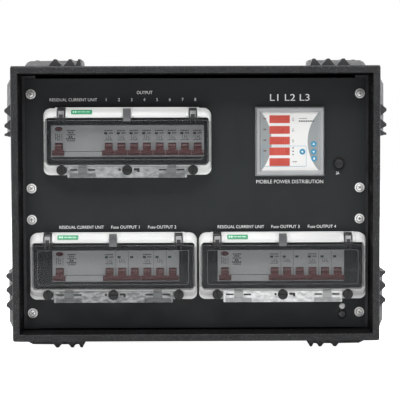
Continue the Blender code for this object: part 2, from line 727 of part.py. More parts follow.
def build_rear_panel():
    half_w = INNER_X - 0.4 * MM
    half_h = INNER_Z - 0.4 * MM
    front = REAR_PANEL_Y - PANEL_T
    outline = rectangle(-half_w, half_w, MID_Z - half_h, MID_Z + half_h)
    holes = [circle(x, STRIP_Z, SOCKET_BOSS_R + 0.5 * MM) for x in socket_places()]
    holes += [circle(x, z, size.insert + 5.5 * MM) for x, z, size in outlet_places()]
    holes.append(circle(INLET_X, INLET_Z, INLET_63.insert + 5.5 * MM))
    panel = piece("rear_panel", plate(outline, holes, "Y", front, REAR_PANEL_Y), panel_paint())
    inner = rectangle(-half_w + 2 * MM, half_w - 2 * MM,
                      MID_Z - half_h + 2 * MM, MID_Z + half_h - 2 * MM)
    rim = plate(outline, [inner], "Y", front - REAR_RIM, front + MM)
    combine(panel, rim, "UNION")


def build_socket_strip():
    """Eight single-phase sockets in one moulded strip."""
    face = REAR_PANEL_Y + 6 * MM
    outline = rounded(-STRIP_W / 2, STRIP_W / 2, STRIP_Z - STRIP_H / 2, STRIP_Z + STRIP_H / 2, 5 * MM)
    bm = plate(outline, [], "Y", REAR_PANEL_Y + GAP, face)
    strip = piece("socket_strip", bm, socket_plastic())
    bosses = []
    recesses = []
    contacts = []
    for x in socket_places():
        bosses.append(turned(x, STRIP_Z, ((SOCKET_BOSS_R, face - 2 * MM),
                                          (SOCKET_BOSS_R, REAR_PANEL_Y - 30 * MM))))
        recesses.append(turned(x, STRIP_Z, ((SOCKET_R + 0.6 * MM, face + MM),
                                            (SOCKET_R, face - 17.5 * MM))))
        for side in (-1, 1):
            contacts.append(turned(x + side * 9.5 * MM, STRIP_Z,
                                   ((2.6 * MM, face - 16 * MM), (2.6 * MM, face - 30 * MM)), 16))
    combine(strip, merged(bosses), "UNION")
    combine(strip, merged(recesses), "DIFFERENCE")
    combine(strip, merged(contacts), "DIFFERENCE")


def build_connector(name, x, z, size, male):
    """A flanged round connector that stands out from the rear panel."""
    face = REAR_PANEL_Y + GAP
    floor = face + 4 * MM
    rim = face + size.depth
    insert_top = floor if male else rim - 7 * MM
    back = size.insert + 5 * MM
    profile = [(back, face - 30 * MM), (back, face + MM), (size.outer, face + MM), (size.outer, rim),
               (size.inner, rim), (size.inner, floor)]
    if not male:
        profile += [(size.insert, floor), (size.insert, insert_top)]
    body = piece(name, turned(x, z, profile), outlet_plastic())
    half = size.flange / 2
    flange = rounded(x - half, x + half, z - half, z + half, 6 * MM)
    combine(body, plate(flange, [], "Y", face, face + 3.5 * MM), "UNION")
    ears = []
    for side in (-1, 1):
        near, far = sorted((x + side * 8 * MM, x + side * 14 * MM))
        shroud, top = z + size.outer, z + size.hinge_rise + 3 * MM
        outline = [(rim - 12 * MM, shroud - 5 * MM), (rim - MM, shroud - 5 * MM),
                   (rim - MM, shroud + 2.4 * MM), (rim + 4 * MM, shroud + 2.4 * MM),
                   (rim + 4 * MM, top), (rim - 2 * MM, top), (rim - 12 * MM, shroud + MM)]
        ears.append(plate(outline, [], "X", near, far))
    combine(body, merged(ears), "UNION")
    ring = 0.58 * size.insert
    contacts = []
    for i in range(5):
        angle = math.radians(90 + 72 * i)
        px, pz = x + ring * math.cos(angle), z + ring * math.sin(angle)
        if male:
            contacts.append(turned(px, pz, ((4 * MM, floor - 2 * MM), (4 * MM, rim - 14 * MM),
                                            (2.8 * MM, rim - 12 * MM)), 16))
        else:
            contacts.append(turned(px, pz, ((2.9 * MM, insert_top + MM),
                                            (2.9 * MM, insert_top - 18 * MM)), 16))
    combine(body, merged(contacts), "UNION" if male else "DIFFERENCE")


def build_connector_lid(name, x, z, size):
    """Round spring lid, hinged above the connector's mouth."""
    rim = REAR_PANEL_Y + GAP + size.depth
    pivot = (x, rim + 3 * MM, z + size.hinge_rise)
    radius = size.outer + 1.5 * MM
    profile = ((radius, rim + GAP), (radius, rim + 6 * MM), (radius - 3 * MM, rim + 8.5 * MM),
               (radius - 12 * MM, rim + 9 * MM))
    lid = piece(name, turned(x, z, profile), outlet_plastic(), pivot)
    tongue = arc(pivot[1], pivot[2], 2.6 * MM, 0, 180, 10)
    tongue += [(pivot[1] - 2.6 * MM, z + size.outer - 3 * MM), (pivot[1] + 2.6 * MM, z + size.outer - 3 * MM)]
    combine(lid, plate(tongue, [], "X", x - 7.5 * MM, x + 7.5 * MM), "UNION")


def build_rear():
    build_rear_panel()
    build_socket_strip()
    for number, (x, z, size) in enumerate(outlet_places(), start=1):
        build_connector(f"outlet_{number}", x, z, size, male=False)
        build_connector_lid(f"outlet_lid_{number}", x, z, size)
    build_connector("inlet", INLET_X, INLET_Z, INLET_63, male=True)
    build_connector_lid("inlet_lid", INLET_X, INLET_Z, INLET_63)


def clear_scene():
    for found in list(bpy.data.objects):
        bpy.data.objects.remove(found, do_unlink=True)


clear_scene()
build_case()
build_guards()
build_rails()
build_front_panel()
for opening in WINDOWS:
    build_window_frame(opening)
    build_window_lid(opening)
    build_latches(opening)
build_breakers()
build_meter()
build_fuse_cap()
build_grips()
build_rear()
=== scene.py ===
"""Looks of the portable power distribution box, built around its CAD frame.

+Z is up, +X is to the right seen from the front, and the front faces -Y. Metres throughout.
"""
import json
import math

import bmesh
import bpy
from mathutils import Matrix, Vector


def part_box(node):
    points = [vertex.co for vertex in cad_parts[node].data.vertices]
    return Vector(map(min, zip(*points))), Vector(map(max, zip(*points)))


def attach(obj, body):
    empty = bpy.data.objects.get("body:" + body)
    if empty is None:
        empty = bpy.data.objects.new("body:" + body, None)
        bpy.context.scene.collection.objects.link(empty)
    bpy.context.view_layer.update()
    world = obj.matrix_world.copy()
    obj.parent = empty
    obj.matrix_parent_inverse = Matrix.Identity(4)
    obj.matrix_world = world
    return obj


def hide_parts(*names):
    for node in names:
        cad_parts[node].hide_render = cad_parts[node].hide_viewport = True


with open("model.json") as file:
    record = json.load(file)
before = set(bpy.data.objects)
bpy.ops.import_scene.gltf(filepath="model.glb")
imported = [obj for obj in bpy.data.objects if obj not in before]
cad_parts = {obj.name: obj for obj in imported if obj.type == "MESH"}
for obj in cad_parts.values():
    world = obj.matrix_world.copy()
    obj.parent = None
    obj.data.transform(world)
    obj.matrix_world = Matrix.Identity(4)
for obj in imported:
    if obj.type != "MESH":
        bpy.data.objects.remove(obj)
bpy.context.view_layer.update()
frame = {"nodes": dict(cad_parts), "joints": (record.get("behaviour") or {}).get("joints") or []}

MM = 0.001
ROOT = "enclosure"
NODES = frame["nodes"]
JOINTS = {joint["name"]: joint for joint in frame["joints"]}
WINDOW_NAMES = ("upper", "lower_left", "lower_right")

PANEL_LOW, PANEL_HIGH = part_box("front_panel")
PANEL_Y = PANEL_LOW.y
PANEL_Z = (PANEL_LOW.z + PANEL_HIGH.z) / 2
CASE_LOW, BOARD_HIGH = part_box("case_bottom_board")
CASE_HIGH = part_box("case_top_board")[1]
BOARD_T = BOARD_HIGH.z - CASE_LOW.z
MID_Z = (CASE_LOW.z + CASE_HIGH.z) / 2
FRONT_Y = CASE_LOW.y
REAR_Y = CASE_HIGH.y
REAR_PANEL_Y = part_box("rear_panel")[1].y
SIDES = (("left", -1), ("right", 1))
PRINT = 0.12 * MM                  # thickness of printed and applied marks


def middle_of(name):
    """Middle of a CAD node's box, as x and z."""
    low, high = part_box(name)
    return (low.x + high.x) / 2, (low.z + high.z) / 2


# --- mesh building ------------------------------------------------------------
def place(axis, u, v, depth):
    """A point of a flat outline: depth runs along axis, u and v across it."""
    if axis == "X":
        return Vector((depth, u, v))
    if axis == "Y":
        return Vector((u, depth, v))
    return Vector((u, v, depth))


def arc(cx, cy, radius, start, stop, steps=8):
    points = []
    for i in range(steps + 1):
        angle = math.radians(start + (stop - start) * i / steps)
        points.append((cx + radius * math.cos(angle), cy + radius * math.sin(angle)))
    return points


def circle(cx, cy, radius, steps=40):
    return arc(cx, cy, radius, 0, 360 * (steps - 1) / steps, steps - 1)


def rectangle(u0, u1, v0, v1):
    return [(u0, v0), (u1, v0), (u1, v1), (u0, v1)]


def rounded(u0, u1, v0, v1, low, high=None, steps=8):
    """A rectangle with rounded corners: low radius at v0, high radius at v1."""
    high = low if high is None else high
    return (arc(u0 + low, v0 + low, low, 180, 270, steps)
            + arc(u1 - low, v0 + low, low, 270, 360, steps)
            + arc(u1 - high, v1 - high, high, 0, 90, steps)
            + arc(u0 + high, v1 - high, high, 90, 180, steps))


def centred(cx, cz, width, height, radius=0.0, steps=4):
    box = (cx - width / 2, cx + width / 2, cz - height / 2, cz + height / 2)
    return rounded(*box, radius, steps=steps) if radius else rectangle(*box)


def baked(bm, name):
    """Turns a bmesh into a mesh, and frees it."""
    mesh = bpy.data.meshes.new(name)
    bm.to_mesh(mesh)
    bm.free()
    return mesh


def added(name, data):
    """Puts a mesh, camera or light into the scene as an object of that name."""
    made = bpy.data.objects.new(name, data)
    bpy.context.scene.collection.objects.link(made)
    return made


class Shape:
    """Collects closed bodies in the shared frame, and turns them into one piece."""

    def __init__(self):
        self.bm = bmesh.new()

    def loops(self, rings):
        return [[self.bm.verts.new(point) for point in ring] for ring in rings]

    def bands(self, loops):
        """Faces between each loop of vertices and the next."""
        faces = []
        count = len(loops[0])
        for lower, upper in zip(loops, loops[1:]):
            for i in range(count):
                j = (i + 1) % count
                faces.append(self.bm.faces.new((lower[i], lower[j], upper[j], upper[i])))
        return faces

    def loft(self, rings):
        """A body through rings, closed at its first and last ring."""
        loops = self.loops(rings)
        faces = self.bands(loops)
        faces.append(self.bm.faces.new(reversed(loops[0])))
        faces.append(self.bm.faces.new(loops[-1]))
        bmesh.ops.recalc_face_normals(self.bm, faces=faces)
        return self

    def hoop(self, rings):
        """A closed band through rings, whose last ring joins the first."""
        loops = self.loops(rings)
        bmesh.ops.recalc_face_normals(self.bm, faces=self.bands(loops + loops[:1]))
        return self

    def plate(self, outline, axis, low, high, holes=()):
        """A flat outline with holes, extruded along axis."""
        edges = []
        for loop in [outline, *holes]:
            verts = [self.bm.verts.new(place(axis, u, v, low)) for u, v in loop]
            edges += [self.bm.edges.new((verts[i - 1], verts[i])) for i in range(len(verts))]
        filled = bmesh.ops.triangle_fill(self.bm, use_beauty=True, edges=edges)
        faces = [item for item in filled["geom"] if isinstance(item, bmesh.types.BMFace)]
        grown = bmesh.ops.extrude_face_region(self.bm, geom=faces)
        moved = [item for item in grown["geom"] if isinstance(item, bmesh.types.BMVert)]
        bmesh.ops.translate(self.bm, verts=moved, vec=place(axis, 0, 0, high - low))
        linked = {face for vert in moved for face in vert.link_faces}
        bmesh.ops.recalc_face_normals(self.bm, faces=list(linked | set(faces)))
        return self

    def tile(self, outline, axis, low, high, bevel):
        """A plate whose far face is inset by a bevel, low being the hidden side."""
        cu = sum(u for u, _ in outline) / len(outline)
        cv = sum(v for _, v in outline) / len(outline)
        half = max(max(abs(u - cu) for u, _ in outline), max(abs(v - cv) for _, v in outline))
        shrink = 1 - bevel / half
        turn = math.copysign(bevel, high - low)
        inset = [(cu + (u - cu) * shrink, cv + (v - cv) * shrink) for u, v in outline]
        return self.loft([[place(axis, u, v, low) for u, v in outline],
                          [place(axis, u, v, high - turn) for u, v in outline],
                          [place(axis, u, v, high) for u, v in inset]])

    def block(self, x0, x1, y0, y1, z0, z1):
        return self.plate(rectangle(x0, x1, z0, z1), "Y", y0, y1)

    def slab(self, cx, cz, width, height, low, high, radius=0.0, bevel=0.0):
        """A flat rectangle that faces the front, from depth low to depth high."""
        outline = centred(cx, cz, width, height, radius)
        return self.tile(outline, "Y", low, high, bevel) if bevel else self.plate(outline, "Y", low, high)

    def join(self, other):
        """Takes over another shape's bodies."""
        mesh = baked(other.bm, "joined")
        self.bm.from_mesh(mesh)
        bpy.data.meshes.remove(mesh)
        return self

    def turned(self, axis, cu, cv, profile, steps=40):
        """A body of revolution about a line along axis, from (radius, depth) pairs."""
        return self.loft([[place(axis, u, v, depth) for u, v in circle(cu, cv, radius, steps)]
                          for radius, depth in profile])

    def moved(self, matrix):
        bmesh.ops.transform(self.bm, matrix=matrix, verts=self.bm.verts)
        return self

    def finish(self, name, surface, body=ROOT, slot=None, smooth=35, cut=None, bevel=0.0):
        """Makes the piece in the surface of that key; cut is a Shape that is taken away from it."""
        made = added(name, baked(self.bm, name))
        if cut is not None:
            subtract(made, cut)
        if bevel:
            soften(made, bevel)
        made.data.shade_smooth()
        made.data.set_sharp_from_angle(angle=math.radians(smooth))
        made.data.materials.clear()
        made.data.materials.append(MATERIALS[surface])
        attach(made, body)
        return made


def apply_modifiers(made):
    """Replaces the mesh with its evaluated form, and drops the modifiers."""
    graph = bpy.context.evaluated_depsgraph_get()
    mesh = bpy.data.meshes.new_from_object(made.evaluated_get(graph))
    made.modifiers.clear()
    made.data = mesh


def subtract(made, cut):
    cutter = added("cut", baked(cut.bm, "cut"))
    step = made.modifiers.new("cut", "BOOLEAN")
    step.operation = "DIFFERENCE"
    step.solver = "EXACT"
    step.use_self = True
    step.object = cutter
    apply_modifiers(made)
    bpy.data.objects.remove(cutter)


def soften(made, width):
    step = made.modifiers.new("soft edges", "BEVEL")
    step.width = width
    step.segments = 2
    step.limit_method = "ANGLE"
    step.angle_limit = math.radians(35)
    apply_modifiers(made)


# --- materials ----------------------------------------------------------------
class Surface:
    """A Principled material whose details come from noise in the shared frame."""

    def __init__(self, name, roughness=0.5, metallic=0.0):
        self.material = bpy.data.materials.new(name)
        self.material.use_nodes = True
        self.tree = self.material.node_tree
        self.shader = self.tree.nodes["Principled BSDF"]
        self.set("Metallic", metallic)
        self.set("Roughness", roughness)
        self.coords = self.tree.nodes.new("ShaderNodeTexCoord").outputs["Object"]

    def set(self, socket, value):
        self.shader.inputs[socket].default_value = value

    def link(self, source, target):
        self.tree.links.new(source, target)

    def noise(self, scale, detail=3.0, stretch=(1, 1, 1)):
        """Noise with features about 1/scale metres across."""
        mapping = self.tree.nodes.new("ShaderNodeMapping")
        mapping.inputs["Scale"].default_value = stretch
        self.link(self.coords, mapping.inputs["Vector"])
        node = self.tree.nodes.new("ShaderNodeTexNoise")
        node.inputs["Scale"].default_value = scale
        node.inputs["Detail"].default_value = detail
        self.link(mapping.outputs["Vector"], node.inputs["Vector"])
        return node.outputs["Fac"]

    def cells(self, scale):
        node = self.tree.nodes.new("ShaderNodeTexVoronoi")
        node.inputs["Scale"].default_value = scale
        self.link(self.coords, node.inputs["Vector"])
        return node.outputs["Distance"]

    def ramp(self, source, stops):
        """Maps a value to colours: stops are (position, colour)."""
        node = self.tree.nodes.new("ShaderNodeValToRGB")
        elements = node.color_ramp.elements
        while len(elements) < len(stops):
            elements.new(0.5)
        for element, (position, colour) in zip(elements, stops):
            element.position = position
            element.color = (*colour, 1.0)
        self.link(source, node.inputs["Fac"])
        return node.outputs["Color"]

    def mix(self, factor, first, second):
        """Blends two colours, given as sockets or as RGB."""
        node = self.tree.nodes.new("ShaderNodeMix")
        node.data_type = "RGBA"
        sockets = [s for s in node.inputs if s.type == "RGBA"]
        for socket, value in zip(sockets, (first, second)):
            if isinstance(value, tuple):
                socket.default_value = (*value, 1.0)
            else:
                self.link(value, socket)
        self.link(factor, node.inputs["Factor"])
        return next(s for s in node.outputs if s.type == "RGBA")

    def levels(self, source, low, high, start=0.3, stop=0.7):
        """Maps noise between start and stop to the range from low to high."""
        node = self.tree.nodes.new("ShaderNodeMapRange")
        for socket, value in (("From Min", start), ("From Max", stop), ("To Min", low), ("To Max", high)):
            node.inputs[socket].default_value = value
        self.link(source, node.inputs["Value"])
        return node.outputs["Result"]

    def colour(self, dark, light, scale, detail=3.0):
        """Base colour that wanders between two shades."""
        shade = self.ramp(self.noise(scale, detail), ((0.3, dark), (0.7, light)))
        self.link(shade, self.shader.inputs["Base Color"])

    def gloss(self, low, high, scale):
        """Roughness that wanders between two values."""
        self.link(self.levels(self.noise(scale), low, high), self.shader.inputs["Roughness"])

    def bump(self, height, distance, strength=1.0):
        node = self.tree.nodes.new("ShaderNodeBump")
        node.inputs["Distance"].default_value = distance
        node.inputs["Strength"].default_value = strength
        self.link(height, node.inputs["Height"])
        last = self.shader.inputs["Normal"]
        if last.is_linked:
            self.link(last.links[0].from_socket, node.inputs["Normal"])
        self.link(node.outputs["Normal"], last)


def structure_paint(name="structure_paint", painted_light_level=1.0):
    """Black paint with a coarse, speckled grain, as rolled onto plywood cases."""
    s = Surface(name, 0.62)
    # A painted_light_level below 1 dims the colour, the specks and the specular of the paint: painted shade.
    base = s.ramp(s.noise(55, 4), ((0.3, (0.006 * painted_light_level, 0.0066 * painted_light_level, 0.0072 * painted_light_level)),
                                   (0.7, (0.012 * painted_light_level, 0.0128 * painted_light_level, 0.0136 * painted_light_level))))
    specks = s.levels(s.noise(820, 2.5), 0.0, 0.8 * painted_light_level, 0.56, 0.72)
    s.link(s.mix(specks, base, (0.12, 0.125, 0.13)), s.shader.inputs["Base Color"])
    s.gloss(0.42, 0.72, 300)
    s.set("Specular IOR Level", 0.4 * painted_light_level)
    s.bump(s.noise(620, 3), 0.35 * MM, 0.8)
    s.bump(s.noise(150, 2), 0.3 * MM, 0.5)
    return s.material


def powder_coat():
    """Fine-grained black powder coat on sheet steel."""
    s = Surface("powder_coat", 0.5)
    tint = (0.009, 0.0115, 0.0125)
    s.colour(tint, tuple(1.35 * c for c in tint), 9, 5)
    s.gloss(0.44, 0.6, 40)
    s.set("Specular IOR Level", 0.36)
    s.bump(s.noise(1500, 2), 0.06 * MM, 0.6)
    return s.material


def rubber():
    """Moulded rubber with a fine pebble grain and dusty patches."""
    s = Surface("rubber", 0.6)
    base = s.ramp(s.noise(30, 5), ((0.3, (0.03, 0.031, 0.033)), (0.75, (0.05, 0.052, 0.055))))
    dust = s.levels(s.noise(240, 6), 0.0, 0.3, 0.5, 0.85)
    s.link(s.mix(dust, base, (0.1, 0.1, 0.1)), s.shader.inputs["Base Color"])
    s.gloss(0.45, 0.7, 90)
    s.bump(s.cells(900), 0.12 * MM, 0.6)
    return s.material


def moulded(name, colour, roughness=0.4, grain=0.03, spread=0.08, coat=0.0):
    """Moulded plastic: slight shade drift, fine grain and uneven gloss."""
    s = Surface(name, roughness)
    light = tuple(min(1.0, c * (1 + spread)) for c in colour)
    dark = tuple(c * (1 - spread) for c in colour)
    s.colour(dark, light, 24, 4)
    s.gloss(roughness * 0.85, roughness * 1.2, 120)
    s.bump(s.noise(1400, 2), grain * MM, 0.5)
    s.set("Coat Weight", coat)
    s.set("Coat Roughness", 0.12)
    return s.material


def marbled(name, dark, light):
    """Translucent moulding whose flow lines show as faint clouds."""
    s = Surface(name, 0.3)
    clouds = s.noise(95, 6, stretch=(1, 1, 2.2))
    s.link(s.ramp(clouds, ((0.36, dark), (0.62, light))), s.shader.inputs["Base Color"])
    s.gloss(0.22, 0.4, 120)
    s.bump(s.noise(300, 3), 0.05 * MM, 0.5)
    return s.material


def metal(name, colour, roughness=0.3, brushed=(1, 1, 40), metallic=1.0):
    """Plated or turned metal with fine tool marks and dull patches."""
    s = Surface(name, roughness, metallic)
    s.colour(tuple(0.82 * c for c in colour), colour, 90, 4)
    s.gloss(roughness * 0.7, roughness * 1.5, 160)
    s.bump(s.noise(500, 2, stretch=brushed), 0.02 * MM, 0.5)
    return s.material


def smoked_plastic(name, colour, alpha, roughness=0.06):
    """Clear tinted polycarbonate, with faint flow marks in its gloss."""
    s = Surface(name, roughness)
    s.colour(tuple(0.85 * c for c in colour), colour, 18, 3)
    s.gloss(roughness * 0.6, roughness * 2.2, 35)
    s.set("Alpha", alpha)
    s.set("IOR", 1.5)
    return s.material


def display_red():
    """Red filter of a seven-segment display, with the unlit digits' dot grid."""
    s = Surface("display_red", 0.25)
    base = s.ramp(s.noise(60, 3), ((0.3, (0.5, 0.075, 0.055)), (0.7, (0.62, 0.11, 0.085))))
    stripes = s.tree.nodes.new("ShaderNodeTexWave")
    stripes.inputs["Scale"].default_value = 105
    s.link(s.coords, stripes.inputs["Vector"])
    shade = s.levels(stripes.outputs["Fac"], 0.0, 0.3, 0.2, 1.0)
    s.link(s.mix(shade, base, (0.36, 0.05, 0.04)), s.shader.inputs["Base Color"])
    s.bump(s.noise(700, 2), 0.02 * MM, 0.4)
    return s.material


MATERIALS = {
    "paint": structure_paint(),
    "panel": powder_coat(),
    "rubber": rubber(),
    "frame": moulded("frame_plastic", (0.68, 0.69, 0.68), 0.4, 0.02, 0.03),
    # Painted light and shade: the three windows' hinge strips are one moulding, given lighter or darker
    # copies for how lit each window is, with the lower right as the lit copy; the ribs likewise.
    "strip_upper": marbled("strip_upper", (0.17, 0.18, 0.184), (0.34, 0.35, 0.35)),
    "strip_lower_left": marbled("strip_lower_left", (0.1, 0.108, 0.11), (0.33, 0.34, 0.34)),
    "strip_lower_right": marbled("strip_lower_right", (0.42, 0.43, 0.43), (0.74, 0.75, 0.75)),
    "ribs_upper": moulded("ribs_upper", (0.13, 0.138, 0.14), 0.4, 0.02, 0.08),
    "ribs_lower_left": moulded("ribs_lower_left", (0.12, 0.128, 0.13), 0.4, 0.02, 0.08),
    "ribs_lower_right": moulded("ribs_lower_right", (0.3, 0.31, 0.31), 0.4, 0.02, 0.08),
    "steel": metal("latch_steel", (0.5, 0.51, 0.52), 0.35),
    # Painted shade: a dimmed copy of the case paint for the faces deep inside the case.
    "inner": structure_paint("painted_recess_shade", 0.35),
    "segment": moulded("display_segment", (0.38, 0.05, 0.045), 0.3, 0.01, 0.06),
    "lid": smoked_plastic("smoked_lid", (0.035, 0.038, 0.04), 0.2),
    # Painted highlight: lighter smoked plastic for the bright lines along the lids' edges.
    "rim": smoked_plastic("painted_lid_highlight", (0.3, 0.31, 0.32), 0.4, 0.2),
    "latch": moulded("latch_plastic", (0.02, 0.02, 0.021), 0.3, 0.02, 0.1),
    "tongue": moulded("tongue_plastic", (0.12, 0.125, 0.13), 0.3, 0.02, 0.1),
    "breaker": moulded("breaker_plastic", (0.52, 0.53, 0.54), 0.45, 0.03, 0.03),
    "toggle": moulded("toggle_plastic", (0.12, 0.032, 0.034), 0.35, 0.02, 0.12),
    "button": moulded("button_plastic", (0.09, 0.016, 0.02), 0.35, 0.02, 0.12),
    "black": moulded("black_plastic", (0.014, 0.015, 0.016), 0.42, 0.03, 0.12),
    "knob": moulded("knob_plastic", (0.011, 0.012, 0.012), 0.42, 0.04, 0.12),
    "fuse": moulded("fuse_plastic", (0.024, 0.025, 0.026), 0.3, 0.04, 0.2),
    "collar": moulded("collar_plastic", (0.003, 0.003, 0.003), 0.6, 0.04, 0.2),
    "bezel": moulded("bezel_plastic", (0.36, 0.37, 0.38), 0.22, 0.01, 0.05, 0.6),
    "red": moulded("connector_red", (0.5, 0.022, 0.016), 0.36, 0.04, 0.08),
    "blue": moulded("socket_blue", (0.015, 0.045, 0.2), 0.36, 0.04, 0.08),
    "zinc": metal("zinc", (0.95, 0.95, 0.94), 0.4, metallic=0.15),
    "nickel": metal("nickel", (0.93, 0.92, 0.9), 0.3, metallic=0.3),
    "blackened": metal("blackened_steel", (0.09, 0.09, 0.095), 0.4),
    "plate": metal("anodised_plate", (0.55, 0.56, 0.57), 0.38, (40, 1, 1)),
    "print_white": moulded("print_white", (0.97, 0.97, 0.97), 0.5, 0.01, 0.02),
    "print_dark": moulded("print_dark", (0.012, 0.013, 0.014), 0.5, 0.01, 0.1),
    "print_grey": moulded("print_grey", (0.035, 0.038, 0.04), 0.5, 0.01, 0.1),
    "print_green": moulded("print_green", (0.01, 0.06, 0.04), 0.5, 0.01, 0.1),
    "label_green": moulded("label_green", (0.006, 0.28, 0.11), 0.35, 0.01, 0.08),
    "label_pale": moulded("label_pale", (0.45, 0.8, 0.62), 0.35, 0.01, 0.04),
    "foil_white": moulded("foil_white", (0.74, 0.74, 0.73), 0.4, 0.01, 0.015),
    "foil_grey": moulded("foil_grey", (0.27, 0.29, 0.295), 0.4, 0.01, 0.03),
    "foil_blue": moulded("foil_blue", (0.035, 0.25, 0.42), 0.3, 0.01, 0.06),
    "foil_line": moulded("foil_line", (0.14, 0.34, 0.5), 0.4, 0.01, 0.05),
    "display": display_red(),
}


def dress_nodes():
    """Gives each CAD node that stays visible its finished material."""
    rules = (
        ("case_", "paint"), ("edge_guard", "rubber"), ("rack_rail", "blackened"),
        ("front_panel", "panel"), ("rear_panel", "panel"), ("window_lid", "lid"),
        ("window_latch", "latch"), ("window_frame", "frame"), ("breaker_row", "breaker"),
        ("rcd_toggle", "toggle"), ("breaker_toggle", "toggle"), ("three_pole", "toggle"),
        ("rcd_test_button", "button"), ("meter", "bezel"), ("fuse_cap", "fuse"),
        ("side_grip", "black"), ("socket_strip", "blue"), ("outlet", "red"), ("inlet", "red"),
    )
    for name, node in NODES.items():
        surface = next(key for start, key in rules if name.startswith(start))
        node.data.materials.clear()
        node.data.materials.append(MATERIALS[surface])


# --- case ---------------------------------------------------------------------
EDGE_R = 2.4 * MM                  # rounding of the board edges
CORNER_R = 3 * MM                  # rounding of the case's outer corners
INNER_EDGE_R = 1.1 * MM
GRIP_FLANGE = 11 * MM              # the grip's rim, which covers the edge of the board's opening


def shell_profile():
    """The shell's section as (inset, y) pairs, from the outer front edge round to the rear one."""
    inner = BOARD_T - INNER_EDGE_R
    profile = [(EDGE_R - u, FRONT_Y + EDGE_R - v) for u, v in arc(0, 0, EDGE_R, 0, 90, 5)]
    profile += [(inner + u, FRONT_Y + INNER_EDGE_R - v) for u, v in arc(0, 0, INNER_EDGE_R, 90, 0, 3)]
    profile += [(inner + u, REAR_Y - INNER_EDGE_R + v) for u, v in arc(0, 0, INNER_EDGE_R, 0, 90, 3)]
    profile += [(EDGE_R - u, REAR_Y - EDGE_R + v) for u, v in arc(0, 0, EDGE_R, 90, 0, 5)]
    return profile


def case_shell():
    """The four boards as one painted box: filler and paint hide their joints."""
    rings = []
    for inset, y in shell_profile():
        shape = rounded(-CASE_HIGH.x + inset, CASE_HIGH.x - inset, CASE_LOW.z + inset, CASE_HIGH.z - inset,
                        max(CORNER_R - inset, 0.4 * MM), steps=5)
        rings.append([place("Y", u, v, y) for u, v in shape])
    cut = Shape()
    for name, side in SIDES:
        low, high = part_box(f"side_grip_{name}")
        near, far = sorted((side * (CASE_HIGH.x - 2 * BOARD_T), side * (CASE_HIGH.x + BOARD_T)))
        rim = GRIP_FLANGE
        opening = rounded(low.y + rim, high.y - rim, low.z + rim, high.z - rim, 12 * MM)
        cut.plate(opening, "X", near, far)
    shell = Shape().hoop(rings).finish("case_shell", "paint", slot="case_paint", cut=cut)
    # Faces deep inside the case take the dimmed paint: painted shade where little light reaches.
    shell.data.materials.append(MATERIALS["inner"])
    inner_x = CASE_HIGH.x - BOARD_T + MM
    inner_z = MID_Z - CASE_LOW.z - BOARD_T + MM
    for face in shell.data.polygons:
        spot = face.center
        deep = FRONT_Y + 2 * MM < spot.y < REAR_Y - 2 * MM
        face.material_index = 1 if deep and abs(spot.x) < inner_x and abs(spot.z - MID_Z) < inner_z else 0
    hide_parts(*(f"case_{side}_board" for side in ("top", "bottom", "left", "right")))


# --- front panel --------------------------------------------------------------
RACK_HALF = 232.9 * MM             # half the distance between the two screw columns
RACK_ROWS = (155.6 * MM, 22.2 * MM, -22.2 * MM, -155.6 * MM)
CAPITAL = 0.7                      # height of the font's capitals, as a share of its size
NARROW = 0.72                      # width of unfitted words, as a share of the font's
DIGIT_WIDTH = 0.95
LEGEND_H = 4.3 * MM
UPPER_LEGENDS = 147.3 * MM         # above the panel's middle
LOWER_LEGENDS = -33.4 * MM


def cross_recess(cut, x, z, top, reach, width, turn):
    """A Phillips recess in a screw head that faces -Y."""
    for angle in (turn, turn + 90):
        blade = Shape().block(-reach, reach, top - 0.5 * MM, top + 1.7 * MM, -width / 2, width / 2)
        spin = Matrix.Rotation(math.radians(angle), 4, "Y")
        cut.join(blade.moved(Matrix.Translation((x, 0, z)) @ spin))


def darken_recess(heads, level):
    """Painted shade: a dark material on the floors and walls of the recesses that lie deeper than level."""
    heads.data.materials.append(MATERIALS["blackened"])
    for face in heads.data.polygons:
        wall = abs(face.normal.y) < 0.5 and face.center.y < level + 2 * MM and face.area < 6 * MM * MM
        floor = face.normal.y < -0.9 and face.center.y > level
        face.material_index = 1 if floor or wall else 0


def panel_screws():
    """Pan-head screws with washers that hold the panel to the rack rails."""
    screws, washers, cut = Shape(), Shape(), Shape()
    face = PANEL_Y - PRINT
    for column, side in enumerate((-1, 1)):
        for row, level in enumerate(RACK_ROWS):
            x, z = side * RACK_HALF, PANEL_Z + level
            washers.turned("Y", x, z, ((6.9 * MM, face), (6.9 * MM, face - 0.9 * MM),
                                       (6.5 * MM, face - 1.3 * MM)))
            top = face - 4 * MM
            screws.turned("Y", x, z, ((4.9 * MM, face - 1.3 * MM), (4.9 * MM, face - 2.4 * MM),
                                      (4.4 * MM, face - 3.3 * MM), (3.2 * MM, face - 3.9 * MM),
                                      (1.4 * MM, top)))
            cross_recess(cut, x, z, top, 2.7 * MM, 0.9 * MM, 20 + 37 * (row + 2 * column))
    washers.finish("panel_washers", "zinc", slot="rail_steel")
    heads = screws.finish("panel_screws", "nickel", slot="rail_steel", cut=cut)
    darken_recess(heads, face - 3.2 * MM)


